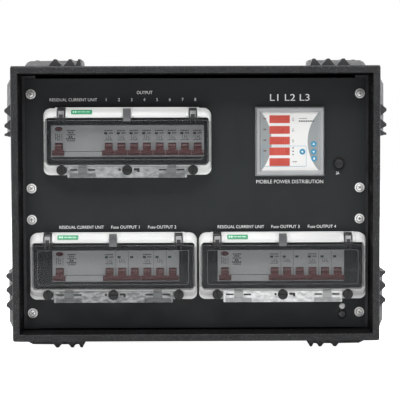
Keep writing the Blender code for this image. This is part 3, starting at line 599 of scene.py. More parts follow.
def text(name, words, x, z, height, width=None, squeeze=NARROW):
    """White words printed on the panel, centred on (x, z), and fitted to width if it is given."""
    curve = bpy.data.curves.new(name, "FONT")
    curve.body = words
    curve.align_x = "CENTER"
    curve.align_y = "CENTER"
    curve.size = height / CAPITAL
    curve.offset = -0.002 * height  # thins the strokes slightly
    curve.extrude = PRINT / 2
    letters = added(name, curve)
    bpy.context.view_layer.update()
    graph = bpy.context.evaluated_depsgraph_get()
    mesh = bpy.data.meshes.new_from_object(letters.evaluated_get(graph))
    bpy.data.objects.remove(letters)
    span = max(v.co.x for v in mesh.vertices) - min(v.co.x for v in mesh.vertices)
    squeeze = width / span if width else squeeze
    turn = Matrix.Rotation(math.radians(90), 4, "X")
    spot = Matrix.Translation((x, PANEL_Y - PRINT, z))
    mesh.transform(spot @ turn @ Matrix.Diagonal((squeeze, 1, 1, 1)))
    mesh.materials.append(MATERIALS["print_white"])
    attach(added(name, mesh), ROOT)


def module_columns(window):
    """Toggle positions of one window's breakers, from the joints."""
    low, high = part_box(f"window_frame_{window}")
    found = []
    for name, joint in JOINTS.items():
        if name.startswith(("breaker_toggle", "three_pole")):
            x, _, z = joint["pos_m"]
            if low.x < x < high.x and low.z < z < high.z:
                found.append(x)
    return sorted(found)


def legends():
    """Generic white wording over the windows, round the meter and under the fuse."""
    upper = PANEL_Z + UPPER_LEGENDS
    lower = PANEL_Z + LOWER_LEGENDS
    for number, x in enumerate(module_columns("upper"), start=1):
        text(f"legend_output_{number}", str(number), x - 3.2 * MM, upper, LEGEND_H, squeeze=DIGIT_WIDTH)
    text("legend_output", "OUTPUT", -72 * MM, upper + 10 * MM, LEGEND_H, 22 * MM)
    places = (("upper", -172.9 * MM, upper, 67 * MM), ("lower_left", -162.6 * MM, lower, 63 * MM),
              ("lower_right", 63.9 * MM, lower, 66 * MM))
    for window, x, z, width in places:
        text(f"legend_rcd_{window}", "RESIDUAL CURRENT UNIT", x, z, LEGEND_H, width)
    for number, x in enumerate((-99.9 * MM, -48.1 * MM, 127.5 * MM, 179.4 * MM), start=1):
        text(f"legend_three_phase_{number}", f"Fuse OUTPUT {number}", x, lower, LEGEND_H, 40 * MM)
    x, _ = middle_of("meter")
    text("legend_meter", "MOBILE POWER DISTRIBUTION", x, PANEL_Z + 30.6 * MM, 5.1 * MM, 95 * MM)
    text("legend_phases", "L1 L2 L3", x, PANEL_Z + 149.5 * MM, 9.5 * MM, 56 * MM)
    text("legend_fuse", "2A", 201.5 * MM, PANEL_Z + 42.7 * MM, 4 * MM)


def domed_screw(name, surface, x, z, profile, recess, turn):
    """A cross-head screw on the panel.

    In millimetres, profile holds (radius, height) pairs, and recess the cross's reach and width.
    """
    head, cut = Shape(), Shape()
    rings = [(radius * MM, PANEL_Y - height * MM) for radius, height in profile]
    head.turned("Y", x, z, ((rings[0][0], PANEL_Y - PRINT), *rings))
    reach, width = recess
    cross_recess(cut, x, z, rings[-1][1], reach * MM, width * MM, turn)
    head.finish(name, surface, slot="rail_steel", cut=cut)


def small_hardware():
    """The fuse holder's collar, and the two odd screws under the right window."""
    x, z = middle_of("fuse_cap")
    collar = Shape()
    collar.plate(circle(x, z, 9.2 * MM), "Y", PANEL_Y - 1.6 * MM, PANEL_Y - PRINT, [circle(x, z, 7.4 * MM)])
    collar.finish("fuse_collar", "collar", slot="black_plastic", bevel=0.4 * MM)
    x, z = 208.5 * MM, PANEL_Z - 147.2 * MM
    domed_screw("panel_bright_screw", "zinc", x, z, ((4.2, 1), (3.2, 2.2), (1.2, 2.6)), (2.2, 0.8), 30)
    z -= 11.4 * MM
    domed_screw("panel_black_screw", "blackened", x, z, ((6.2, 1), (4.4, 2.8), (1.5, 3.2)), (3.2, 1.1), 45)


# --- windows ------------------------------------------------------------------
FRAME_PROUD = 20 * MM              # from the panel to the frame's front
FRAME_CROWN = 8 * MM               # how far the frame's front slopes back to its rim
FRAME_LEAN = 6 * MM                # further slope of the lower bar
FRAME_BAR = 13.5 * MM
FRAME_SIDE = 3.6 * MM
STRIP_DROP = 3.6 * MM              # how far the hinge strip reaches below the frame
STRIP_PROUD = 2.5 * MM
LATCH_POCKET = 9.5 * MM            # the latch's top edge swings back into it
KNOB_R = 7 * MM
KNOB_RISE = 7.1 * MM               # from the frame's lower edge
KNOB_SLOT = 1 * MM                 # how far ahead of the frame the slot's floor lies
LATCH_X = 92.3 * MM                # latches and knuckles, to either side of the window's middle
KNUCKLE_X = 62.4 * MM


def window_geometry(window):
    """Middle, half sizes and front of a window's frame."""
    low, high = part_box(f"window_frame_{window}")
    half_h = (high.z - low.z - STRIP_DROP) / 2
    return (low.x + high.x) / 2, high.z - half_h, (high.x - low.x) / 2, half_h, PANEL_Y - FRAME_PROUD


def bar_slope(front, half_h, z):
    """Depth of the crowned frame front at height z over the window's middle."""
    edge = half_h - abs(z)
    return front + FRAME_CROWN * max(0.0, 1 - edge / (FRAME_BAR - 1.5 * MM)) ** 1.6


def latch_pockets(window, rise):
    """The cuts that a frame's latches swing in, up to rise above the frame."""
    x, z, _, half_h, front = window_geometry(window)
    cut = Shape()
    for side in (-1, 1):
        latch = x + side * LATCH_X
        cut.block(latch - 5.8 * MM, latch + 5.8 * MM, front - 4 * MM, front + LATCH_POCKET,
                  z + half_h - FRAME_BAR - 2 * MM, z + half_h + rise)
    return cut


def window_frame(window):
    """The crowned frame round a window; its lower bar leans back."""
    x, z, half_w, half_h, front = window_geometry(window)

    def leaned(v, depth):
        share = min(1.0, max(0.0, 1 - (v - z + half_h) / (FRAME_BAR + 3 * MM)))
        return max(depth, min(front + FRAME_CROWN, depth + share * FRAME_LEAN))

    def ring(side, bar, depth, low, high):
        shape = rounded(x - half_w + side, x + half_w - side, z - half_h + bar, z + half_h - bar, low, high)
        return [place("Y", u, v, leaned(v, depth)) for u, v in shape]

    back = PANEL_Y - 0.2 * MM
    rings = [ring(0, 0, back, 9 * MM, 11 * MM), ring(0, 0, front + FRAME_CROWN, 9 * MM, 11 * MM)]
    for part in (0.08, 0.2, 0.4, 0.6, 0.8, 1.0):
        bar = part * (FRAME_BAR - 1.5 * MM)
        side = part * 2.2 * MM
        rings.append(ring(side, bar, bar_slope(front, half_h, half_h - bar), 9 * MM - side, 11 * MM - side))
    rings.append(ring(FRAME_SIDE - 0.3 * MM, FRAME_BAR - 0.6 * MM, front, 6.4 * MM, 3 * MM))
    rings += [ring(FRAME_SIDE, FRAME_BAR, depth, 6 * MM, 2.4 * MM) for depth in (front + 0.8 * MM, back)]
    cut = latch_pockets(window, 2 * MM)
    sill = z - half_h + FRAME_BAR
    for side in (-1, 1):
        knuckle = x + side * KNUCKLE_X
        cut.block(knuckle - 6.4 * MM, knuckle + 6.4 * MM, front - 6 * MM, front + 4 * MM,
                  sill - 5 * MM, sill + 3 * MM)
    made = Shape().hoop(rings).finish(f"frame_{window}", "frame", slot="frame_plastic", cut=cut, smooth=30)
    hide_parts(f"window_frame_{window}")


def window_plateau(window):
    """The raised middle of the upper bar, cut away at both latches."""
    x, z, _, half_h, front = window_geometry(window)
    top, foot = half_h + 1.2 * MM, half_h - FRAME_BAR + 0.4 * MM
    back = front + FRAME_CROWN + 2 * MM
    profile = [(front + FRAME_CROWN - 2 * MM, z + top)]
    for level in (half_h - 1.2 * MM, half_h - 4 * MM, half_h - 8 * MM, foot):
        profile.append((bar_slope(front, half_h, level) - 0.7 * MM, z + level))
    profile += [(back, z + foot), (back, z + top)]
    reach = 101 * MM
    made = Shape().loft([[Vector((x + offset, y, v)) for y, v in profile] for offset in (-reach, reach)])
    made.finish(f"frame_plateau_{window}", "frame", slot="frame_plastic", cut=latch_pockets(window, 3 * MM),
                smooth=30, bevel=0.5 * MM)


def window_pads(window):
    """Raised guides on the upper bar, beside the latches and the tongue."""
    x, z, _, half_h, front = window_geometry(window)
    pads = Shape()
    top, foot = half_h - 1.4 * MM, half_h - FRAME_BAR + 1.6 * MM
    levels = (foot, foot + 0.6 * MM, (foot + top) / 2, top - 0.6 * MM, top)
    for centre, gap in ((-LATCH_X, 6.2 * MM), (LATCH_X, 6.2 * MM), (0, 6.1 * MM)):
        for side in (-1, 1):
            near, far = sorted((x + centre + side * gap, x + centre + side * (gap + 4.2 * MM)))
            rings = []
            for level in levels:
                depth = bar_slope(front, half_h, level)
                face = depth - (0.9 * MM if level in (foot, top) else 1.9 * MM)
                section = ((near, depth + 1.5 * MM), (far, depth + 1.5 * MM), (far - 0.3 * MM, face),
                           (near + 0.3 * MM, face))
                rings.append([Vector((u, y, z + level)) for u, y in section])
            pads.loft(rings)
    pads.finish(f"latch_guides_{window}", "frame", slot="frame_plastic", bevel=0.3 * MM)


def window_strip(window):
    """Hinge strip along the frame's foot, with two sunken and ribbed hinge fields."""
    x, z, _, half_h, front = window_geometry(window)
    low = z - half_h - STRIP_DROP
    high = z - half_h + FRAME_BAR - 1.6 * MM
    face = front - STRIP_PROUD
    floor = face + 1.4 * MM
    strip, cut, slots, ribs = Shape(), Shape(), Shape(), Shape()
    strip.tile(rounded(x - 84 * MM, x + 84 * MM, low, high, 1.5 * MM), "Y", front + 6 * MM, face, 0.6 * MM)
    for side in (-1, 1):
        hinge = x + side * KNUCKLE_X
        cut.block(hinge - 18.5 * MM, hinge + 18.5 * MM, front - 6 * MM, face + 1.1 * MM, low - MM, high + MM)
        # The black bars in the hinge fields stand for the shade inside the hinge slots: painted shade.
        for step in (-1, 1):
            slots.slab(hinge + step * 12.4 * MM, high - 4.4 * MM, 10.4 * MM, 2.2 * MM, floor, face + 0.9 * MM,
                       0.5 * MM, 0.2 * MM)
        for rib in range(4):
            level = low + (1.2 + 1.5 * rib) * MM
            ribs.slab(hinge, level, 36 * MM, 0.8 * MM, floor, face + 0.6 * MM, bevel=0.2 * MM)
        ribs.slab(hinge, (high + low + 6 * MM) / 2, 12.8 * MM, high - low - 6.6 * MM, floor, face + 0.1 * MM,
                  0.8 * MM, 0.3 * MM)
    cut.plate(circle(x, z - half_h + KNOB_RISE, KNOB_R + 0.25 * MM), "Y", front - 6 * MM, front + 8 * MM)
    # Each window's strip and ribs take their own lit or shaded copy of the moulding: painted light and shade.
    strip.finish(f"hinge_strip_{window}", f"strip_{window}", slot="frame_plastic", cut=cut, bevel=0.25 * MM)
    slots.finish(f"hinge_slots_{window}", "black", slot="frame_plastic")
    ribs.finish(f"hinge_ribs_{window}", f"ribs_{window}", slot="frame_plastic")


def window_knobs(window):
    """Slotted fixing screws with black caps."""
    x, z, _, half_h, front = window_geometry(window)
    knobs, cut = Shape(), Shape()
    level = z - half_h + KNOB_RISE
    profile = ((KNOB_R, -6), (KNOB_R, 1.5), (6.6 * MM, 2.3), (5.6 * MM, 2.45), (5.2 * MM, 2))
    for offset, angle in ((-LATCH_X, 78), (0.0, 4), (LATCH_X, 100)):
        knobs.turned("Y", x + offset, level, [(radius, front - rise * MM) for radius, rise in profile])
        slot = Shape().block(-5.6 * MM, 5.6 * MM, front - 6 * MM, front - KNOB_SLOT, -0.9 * MM, 0.9 * MM)
        spin = Matrix.Rotation(math.radians(angle), 4, "Y")
        cut.join(slot.moved(Matrix.Translation((x + offset, 0, level)) @ spin))
    made = knobs.finish(f"window_screws_{window}", "knob", slot="latch_plastic", cut=cut)
    # The slot floors take near-black plastic: painted shade inside the slots.
    made.data.materials.append(MATERIALS["collar"])
    for face in made.data.polygons:
        face.material_index = 1 if abs(face.center.y - front + KNOB_SLOT) < 0.05 * MM else 0


def sealing_lugs(window):
    """The small black lug and peg beside the middle knob, for a seal's wire."""
    x, z, _, half_h, front = window_geometry(window)
    level = z - half_h + KNOB_RISE
    back = front - 2.2 * MM
    lug = Shape()
    lug.turned("Y", x - 10.4 * MM, level + 0.6 * MM,
               ((1.6 * MM, front - 2 * MM), (1.6 * MM, front - 3.2 * MM), (MM, front - 3.5 * MM)), 20)
    lug.slab(x + 13.2 * MM, level + 1.1 * MM, 8.4 * MM, 3 * MM, back, front - 3.3 * MM, 1.2 * MM, 0.4 * MM)
    lug.slab(x + 15.8 * MM, level - 0.6 * MM, 3 * MM, 4 * MM, back, front - 3.4 * MM, MM, 0.4 * MM)
    lug.finish(f"sealing_lugs_{window}", "knob", slot="latch_plastic")


def latch_arm(window, name, x):
    """Black cap and arm of an over-centre latch, with its foot and two claws."""
    _, z, _, half_h, front = window_geometry(window)
    top = z + half_h
    lid_top = top - FRAME_BAR - LID_TOP_GAP
    outline = arc(front + 3.4 * MM, top - 3.4 * MM, 3.3 * MM, 90, -60, 10)
    outline += [(front + 2.4 * MM, lid_top + 5 * MM), (front + 2.6 * MM, lid_top + 1.4 * MM),
                (front - 0.9 * MM, lid_top + 1.2 * MM), (front - 1.6 * MM, lid_top + 3 * MM),
                (front - 2.0 * MM, top - 7 * MM), (front - 1.6 * MM, top - 2.6 * MM),
                (front + 0.4 * MM, top - 0.4 * MM)]
    arm = Shape().plate(outline, "X", x - 5.1 * MM, x + 5.1 * MM)
    arm.slab(x, lid_top + 1.5 * MM, 14.6 * MM, 2.2 * MM, front - 0.4 * MM, front - 2.7 * MM,
             0.6 * MM, 0.5 * MM)
    for step in (-1, 1):
        arm.slab(x + step * 3.3 * MM, lid_top - 1.6 * MM, 1.8 * MM, 6.2 * MM, front - 1.9 * MM,
                 front - 2.8 * MM, 0.5 * MM, 0.3 * MM)
    body = f"window_latch_{window}_{name}"
    made = arm.finish(f"latch_arm_{window}_{name}", "latch", body, "latch_plastic", bevel=0.3 * MM)
    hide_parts(body)


def latch_band(window, name, x):
    """Steel spring band on a latch's arm."""
    _, z, _, half_h, front = window_geometry(window)
    top = z + half_h
    band = Shape()
    band.slab(x, top - 6.4 * MM, 8.4 * MM, 5.2 * MM, front - 1.4 * MM, front - 2.7 * MM, 0.5 * MM, 0.4 * MM)
    for step in (-1, 1):
        band.slab(x + step * 3.5 * MM, top - 11 * MM, 1.3 * MM, 4.4 * MM, front - 1.2 * MM, front - 2.5 * MM,
                  0.3 * MM, 0.3 * MM)
    band.finish(f"latch_band_{window}_{name}", "steel", f"window_latch_{window}_{name}", "latch_plastic")


def window_latches(window):
    x = window_geometry(window)[0]
    for name, side in SIDES:
        latch_arm(window, name, x + side * LATCH_X)
        latch_band(window, name, x + side * LATCH_X)


def window_label(window):
    """Small green label with pale generic bars, on the slope of the upper bar."""
    x, z, _, half_h, front = window_geometry(window)
    middle = half_h - 5.4 * MM
    near, far = (bar_slope(front, half_h, middle + step) for step in (-3 * MM, 3 * MM))
    tilt = Matrix.Rotation(-math.atan2(far - near, 6 * MM), 4, "X")
    spot = Matrix.Translation((x - 63.7 * MM, (near + far) / 2 - 1.3 * MM, z + middle)) @ tilt
    label = Shape().slab(0, 0, 29.4 * MM, 7.2 * MM, 0.4 * MM, -0.2 * MM, 1.2 * MM, 0.1 * MM).moved(spot)
    label.finish(f"label_{window}", "label_green", slot="frame_plastic")
    marks = Shape()
    bars = ((-12.4, 2.2, 2.8), (-9.2, 2.2, 2.8), (-5.6, 4.4, 1), (-0.2, 5.6, 1), (6.6, 5, 1))
    for start, width, height in bars:
        marks.slab((start + width / 2) * MM, 0, width * MM, height * MM, -0.35 * MM, -0.15 * MM, 0.4 * MM)
    marks.moved(spot).finish(f"label_marks_{window}", "label_pale", slot="frame_plastic")


LID_CLEARANCE = 0.7 * MM
LID_TOP_GAP = 3 * MM
LID_WALL = 1.8 * MM
LID_SKIRT = 9 * MM
LID_FLANGE = 3.4 * MM              # reach of the side flanges over the frame
KNUCKLE_R = 2.7 * MM
KNUCKLE_HALF = 5.8 * MM


def lid_tray(window):
    """The clear tray of a lid, its side flanges and its two hinge knuckles."""
    x, z, half_w, half_h, front = window_geometry(window)
    half = half_w - FRAME_SIDE - LID_CLEARANCE
    low = z - half_h + FRAME_BAR + LID_CLEARANCE
    high = z + half_h - FRAME_BAR - LID_TOP_GAP
    face = front - 1.5 * MM

    def ring(inset, y):
        shape = rounded(x - half + inset, x + half - inset, low + inset, high - inset,
                        5 * MM - inset, 2.5 * MM - inset)
        return [place("Y", u, v, y) for u, v in shape]

    tray = Shape()
    tray.loft([ring(1.2 * MM, face), ring(0.5 * MM, face + 0.3 * MM), ring(0, face + 1.2 * MM),
               ring(0, face + LID_SKIRT), ring(LID_WALL, face + LID_SKIRT), ring(LID_WALL, face + 2.2 * MM)])
    pivot = Vector(JOINTS[f"window_lid_hinge_{window}"]["pos_m"])
    for side in (-1, 1):
        near, far = sorted((x + side * (half + 0.1 * MM), x + side * (half + LID_FLANGE)))
        middle = (low + high) / 2 + MM
        tray.tile(centred((near + far) / 2, middle, far - near, high - low - 6 * MM, 0.6 * MM), "Y",
                  face + 1.1 * MM, face + 0.4 * MM, 0.2 * MM)
        knuckle = x + side * KNUCKLE_X
        outline = arc(pivot.y, pivot.z, KNUCKLE_R, 180, 360, 10)
        outline += [(pivot.y + KNUCKLE_R, low - 0.1 * MM), (pivot.y - KNUCKLE_R, low - 0.1 * MM)]
        tray.plate(outline, "X", knuckle - KNUCKLE_HALF, knuckle + KNUCKLE_HALF)
    made = tray.finish(f"lid_tray_{window}", "lid", f"window_lid_{window}", "lid_plastic", smooth=40)
    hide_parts(f"window_lid_{window}")


def lid_details(window):
    """Ribbed finger tongue, and thin lighter lines along the lid's edges as painted highlights, all on the
    lid.
    """
    x, z, half_w, half_h, front = window_geometry(window)
    body = f"window_lid_{window}"
    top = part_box(body)[1].z
    foot = z + half_h - FRAME_BAR - LID_TOP_GAP
    tongue = Shape()
    tongue.slab(x, (foot - 2 * MM + top) / 2, 10.9 * MM, top - foot + 2.4 * MM, front + 0.1 * MM,
                front - 2.8 * MM, 0.8 * MM, 0.4 * MM)
    for step in range(5):
        tongue.slab(x, top - (2.2 + 2.3 * step) * MM, 9.2 * MM, MM, front - 3.4 * MM, front - 2.6 * MM)
    tongue.finish(f"lid_tongue_{window}", "tongue", body, "lid_plastic", bevel=0.2 * MM)
    heel = Shape()
    heel.slab(x, foot + 0.2 * MM, 15.4 * MM, 2.2 * MM, front - 0.8 * MM, front - 2.6 * MM, 0.7 * MM, 0.4 * MM)
    heel.finish(f"lid_heel_{window}", "latch", body, "lid_plastic")
    half = half_w - FRAME_SIDE - LID_CLEARANCE
    low = z - half_h + FRAME_BAR + LID_CLEARANCE
    face = front - 1.6 * MM
    line = 0.45 * MM
    # Painted highlight: lighter lines along the lid's outer edge and along its skirt.
    edges = Shape()
    for inset in (0.6 * MM, 7.4 * MM):
        loops = []
        for gap, low_r, high_r in ((inset, 4 * MM, 2.4 * MM), (inset + line, 3.6 * MM, 2 * MM)):
            loops.append(rounded(x - half + gap, x + half - gap, low + gap, foot - gap, low_r, high_r))
        edges.plate(loops[0], "Y", face - 0.1 * MM, face + 0.05 * MM, loops[1:])
    edges.finish(f"lid_highlight_lines_{window}", "rim", body, "lid_plastic")


# --- printing on the breakers -------------------------------------------------
# Lines of marks on the residual-current device: width, height (millimetres) and number of marks.
RCD_LINES = ((12, 1.1, 5), (8, 1.3, 3), (13, 1.0, 6), (6, 1.9, 2), (14, 1.4, 5), (11, 1.0, 6))
MODULE = 18 * MM                   # width of one breaker
ROW_END = 12 * MM                  # the row's body reaches this far beyond its first device


class BreakerPrint:
    """Dark, grey and green marks on one row of breakers, placed in millimetres from a breaker's middle."""

    def __init__(self, window):
        self.window = window
        self.z = window_geometry(window)[1]
        self.shapes = {"dark": Shape(), "grey": Shape(), "green": Shape()}

    def mark(self, ink, origin, u, v, width, height):
        self.shapes[ink].slab(origin + u * MM, self.z + v * MM, 1.12 * width * MM, 1.5 * height * MM,
                              PANEL_Y - PRINT, PANEL_Y - 0.02 * MM)

    def residual_device(self, start):
        """Block of text-like lines, the test circuit and the face joint."""
        for line, (width, height, count) in enumerate(RCD_LINES):
            step = width / count
            for i in range(count):
                self.mark("dark", start, 28.5 + i * step - width / 2, 15.6 - 2.9 * line, 0.62 * step, height)
        for i in range(4):
            self.mark("grey", start, 5.5 + 3.1 * i, 6.2, 0.55, 6.5)
            self.mark("grey", start, 7 + 3.1 * (i % 2), 9.8 - 2.4 * i, 2.6, 0.4)
        self.mark("grey", start, 46, -14, 51, 0.45)

    def heading(self, cx):
        """A breaker's head lines and foot line."""
        for i in range(6):
            self.mark("grey", cx, -5.4 + 2 * i, 15.4, 1.2, 1.1)
        for i in range(4):
            self.mark("dark", cx, 0.6 + 1.5 * i, 11.9, 0.9, 1.3)
        self.mark("grey", cx, -0.5, 2.2, 10.5, 0.5)

    def circuit(self, cx):
        """A small diagram of contacts."""
        for i in range(3):
            self.mark("grey", cx, -3.6 + 3.1 * i, 7.4 - 0.7 * i, 0.4, 4.4)
            self.mark("grey", cx, -2.4 + 3.1 * i, 4.6 + 1.6 * (i % 2), 2, 0.4)

    def finish(self):
        for ink, shape in self.shapes.items():
            if shape.bm.verts:
                shape.finish(f"print_{ink}_{self.window}", f"print_{ink}", slot="breaker_plastic")


def breaker_print(window):
    """Printing on the breakers' faces, and the face joint of the residual-current device."""
    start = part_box(f"breaker_row_{window}")[0].x + ROW_END
    single = window == "upper"
    row = BreakerPrint(window)
    row.residual_device(start)
    for pole in range(8 if single else 6):
        cx = start + (4.5 + pole) * MODULE
        if single or pole % 3 == 0:
            row.heading(cx)
        row.mark("dark" if single else "green", cx, -4.3, 11.7, 3.9, 1.9)
        if single or pole % 3 < 2:
            row.circuit(cx)
        if not single and pole % 3:
            row.mark("grey", cx, -9, 0, 0.3, 44)
    row.finish()


# --- meter --------------------------------------------------------------------
FACE_W = 81 * MM
FACE_H = 82 * MM
FACE_PROUD = 5.5 * MM              # from the panel to the meter's face
LAYER = 0.12 * MM                  # thickness of one printed layer of the foil
DISPLAY_PITCH = 15.15              # millimetres between the display rows


def sector(cx, cz, side, sagitta):
    """Outline of the circle segment that bulges from a side edge of the foil towards its middle."""
    half = FACE_H / 2 - 0.2 * MM
    radius = (half ** 2 + sagitta ** 2) / (2 * sagitta)
    spread = math.asin(half / radius)
    edge = cx + side * (FACE_W / 2 - 0.1 * MM - sagitta + radius)
    angles = [spread * (i / 12 - 1) for i in range(25)]
    return [(edge - side * radius * math.cos(a), cz + radius * math.sin(a)) for a in angles]


def meter_face():
    """Printed foil with red display windows, round keys and small marks."""
    x, z = middle_of("meter")
    y = PANEL_Y - FACE_PROUD
    foil, fields, outline, windows, digits = (Shape() for _ in range(5))
    foil.slab(x, z, FACE_W, FACE_H, y - 1.2 * LAYER, y - 0.2 * LAYER, MM)
    for side, sagitta in ((-1, 14.4 * MM), (1, 15.6 * MM)):
        fields.plate(sector(x, z, side, sagitta), "Y", y - 2.2 * LAYER, y - 1.1 * LAYER)
    box_x, box_z = x - 7.9 * MM, z - 20.9 * MM
    outline.plate(centred(box_x, box_z, 62 * MM, 29.4 * MM, 1.5 * MM), "Y", y - 3.3 * LAYER, y - 2.3 * LAYER,
                  [centred(box_x, box_z, 61.1 * MM, 28.5 * MM, 1.2 * MM)])
    for row in range(5):
        level = z + (1.1 + DISPLAY_PITCH * (2 - row)) * MM
        windows.slab(x - 14.8 * MM, level, 28.8 * MM, 11 * MM, y - 4.4 * LAYER, y - 0.2 * LAYER, 0.5 * MM)
        for digit in range(4):
            seven_segments(digits, x + (-24.8 + 6.9 * digit) * MM, level, y - 4.4 * LAYER)
    layers = (("foil", foil, "foil_white"), ("foil_fields", fields, "foil_grey"),
              ("foil_outline", outline, "foil_line"), ("display_windows", windows, "display"),
              ("display_digits", digits, "segment"))
    for name, shape, surface in layers:
        shape.finish(f"meter_{name}", surface, slot="meter_plastic")
    meter_keys(x, z, y - 2.4 * LAYER)
    meter_marks(x, z, y - 2.4 * LAYER)


def seven_segments(shape, x, z, y):
    """The unlit segments of one digit."""
    for level in (-1, 0, 1):
        shape.slab(x, z + level * 3.7 * MM, 2.6 * MM, 0.7 * MM, y - 0.06 * MM, y)
    for side in (-1, 1):
        for level in (-1, 1):
            shape.slab(x + side * 1.75 * MM, z + level * 1.85 * MM, 0.7 * MM, 2.8 * MM, y - 0.06 * MM, y)


def meter_keys(x, z, y):
    """Four round foil keys: three with pale arrows, the last with a bar."""
    keys, arrows = Shape(), Shape()
    arrow_y = y - 0.62 * MM, y - 0.45 * MM
    for dx, dz, turn in ((17.4, -14.6, 180), (33.4, -3.8, 90), (33.4, -14.6, 270), (34, -24.4, None)):
        cx, cz = x + dx * MM, z + dz * MM
        keys.turned("Y", cx, cz, ((4.1 * MM, y), (4.1 * MM, y - 0.25 * MM), (3.6 * MM, y - 0.5 * MM)), 32)
        if turn is None:
            arrows.slab(cx, cz, 2.2 * MM, 3.4 * MM, *arrow_y, MM)
        else:
            arrows.plate(arc(cx, cz, 2.1 * MM, turn, turn + 240, 2), "Y", *arrow_y)
    keys.finish("meter_keys", "foil_blue", slot="meter_plastic")
    arrows.finish("meter_key_arrows", "foil_white", slot="meter_plastic")


def meter_marks(x, z, y):
    """Small generic marks beside the displays."""
    dark, red = Shape(), Shape()

    def mark(shape, dx, dz, width, height):
        shape.slab(x + dx * MM, z + dz * MM, width * MM, height * MM, y - PRINT, y)

    for row in range(4):
        level = 1.9 + DISPLAY_PITCH * (2 - row)
        mark(red, -35.2, level, 2.6, 1.6)
        mark(red, -37.6, level, 1.2, 0.7)
    for row in range(3):
        level = 1.1 + DISPLAY_PITCH * (2 - row)
        for side in (-1, 1):
            mark(dark, 4.2 + side * 0.9, level - 0.4, 0.35, 3)
        mark(dark, 4.2, level - 2, 2.4, 0.4)
        mark(dark, 4.2, level + 1.6, 0.8, 0.8)
    for level in (-9.2, -13.9, -18.6):
        mark(dark, 4.2, level, 1.7, 1.7)
    for i in range(4):
        mark(dark, 4.2 + 1.5 * i, -29 + 0.6 * (i % 2), 0.9, 1.5)
    for i in range(8):
        mark(dark, 13 + 1.5 * i, 32.4, 1, 0.8)
    for i in range(9):
        mark(dark, 13.2 + 2.5 * i, 28.6, 1.9, 1.7)
    dark.finish("meter_marks_dark", "print_grey", slot="meter_plastic")
    red.finish("meter_marks_red", "button", slot="meter_plastic")


# --- sides and rear -----------------------------------------------------------
GUARD_BODY = 9.4 * MM              # thickness of the guards between their ridges
GUARD_SCREW = 32 * MM              # from the case's long edge
GUARD_SCREW_Y = 55 * MM            # from its front and rear edges
SOCKET_PITCH = 52 * MM
FLANGE_T = 3.8 * MM                # thickness of the connectors' flanges
SCREW_DOME = ((1, 0), (1, 0.5), (0.8, 1.2), (0.35, 1.5))  # (share of the radius, height in millimetres)
CONNECTORS = ("outlet_1", "outlet_2", "outlet_3", "outlet_4", "inlet")


def screw_rows(name, spots, axis, level, outward, radius=3.6 * MM, surface="blackened"):
    """Button-head screws at (u, v) spots on a face; outward is +1 or -1 along axis."""
    heads, cut = Shape(), Shape()
    profile = [(share * radius, level + outward * rise * MM) for share, rise in SCREW_DOME]
    socket = [(0.42 * radius, level + outward * rise * MM) for rise in (0.7, 3)]
    for u, v in spots:
        heads.turned(axis, u, v, profile, 28)
        cut.turned(axis, u, v, socket, 6)
    return heads.finish(name, surface, slot="rail_steel", cut=cut)


def corner_spots(cu, cv, half_u, half_v):
    return [(cu + a * half_u, cv + b * half_v) for a in (-1, 1) for b in (-1, 1)]


def guard_screws():
    """Screws that hold the rubber guards to the boards."""
    stations = (FRONT_Y + GUARD_SCREW_Y, REAR_Y - GUARD_SCREW_Y)
    for name, side in SIDES:
        spots = [(y, z) for y in stations for z in (CASE_LOW.z + GUARD_SCREW, CASE_HIGH.z - GUARD_SCREW)]
        screw_rows(f"guard_screws_{name}", spots, "X", side * (CASE_HIGH.x + GUARD_BODY), side)
    spots = [(side * (CASE_HIGH.x - GUARD_SCREW), y) for y in stations for side in (-1, 1)]
    screw_rows("guard_screws_top", spots, "Z", CASE_HIGH.z + GUARD_BODY, 1)


def grip_screws():
    """Screws in the corners of the side grips' rims."""
    inset = 6 * MM
    for name, side in SIDES:
        low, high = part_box(f"side_grip_{name}")
        spots = [(y, z) for y in (low.y + inset, high.y - inset) for z in (low.z + inset, high.z - inset)]
        screw_rows(f"grip_screws_{name}", spots, "X", low.x if side < 0 else high.x, side, 3.2 * MM)


def rear_hardware():
    """Screws of the rear panel and its connectors, and a blank rating plate."""
    low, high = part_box("rear_panel")
    inset = 9 * MM
    spots = [(x, z) for x in (low.x + inset, 0.0, high.x - inset) for z in (low.z + inset, high.z - inset)]
    spots += [(x, MID_Z) for x in (low.x + inset, high.x - inset)]
    screw_rows("rear_panel_screws", spots, "Y", REAR_PANEL_Y, 1, 4 * MM)
    for name in CONNECTORS:
        low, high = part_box(name)
        half = (high.x - low.x) / 2
        reach = half - 6 * MM
        spots = corner_spots((low.x + high.x) / 2, low.z + half, reach, reach)
        screw_rows(f"{name}_screws", spots, "Y", REAR_PANEL_Y + FLANGE_T, 1, 2.8 * MM, "zinc")
    low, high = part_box("socket_strip")
    spots = [(x, (low.z + high.z) / 2 + side * 22 * MM) for side in (-1, 1)
             for x in (low.x + 5 * MM, 0.0, high.x - 5 * MM)]
    screw_rows("strip_screws", spots, "Y", high.y, 1, 2.4 * MM, "zinc")
    x, z = 140 * MM, MID_Z - 100 * MM
    face = REAR_PANEL_Y + 1.1 * MM
    plate = Shape().slab(x, z, 110 * MM, 62 * MM, REAR_PANEL_Y + 0.1 * MM, face, 3 * MM, 0.3 * MM)
    plate.finish("rating_plate", "plate", slot="rail_steel")
    screw_rows("rating_plate_screws", corner_spots(x, z, 50 * MM, 26 * MM), "Y", face, 1, 2 * MM, "zinc")


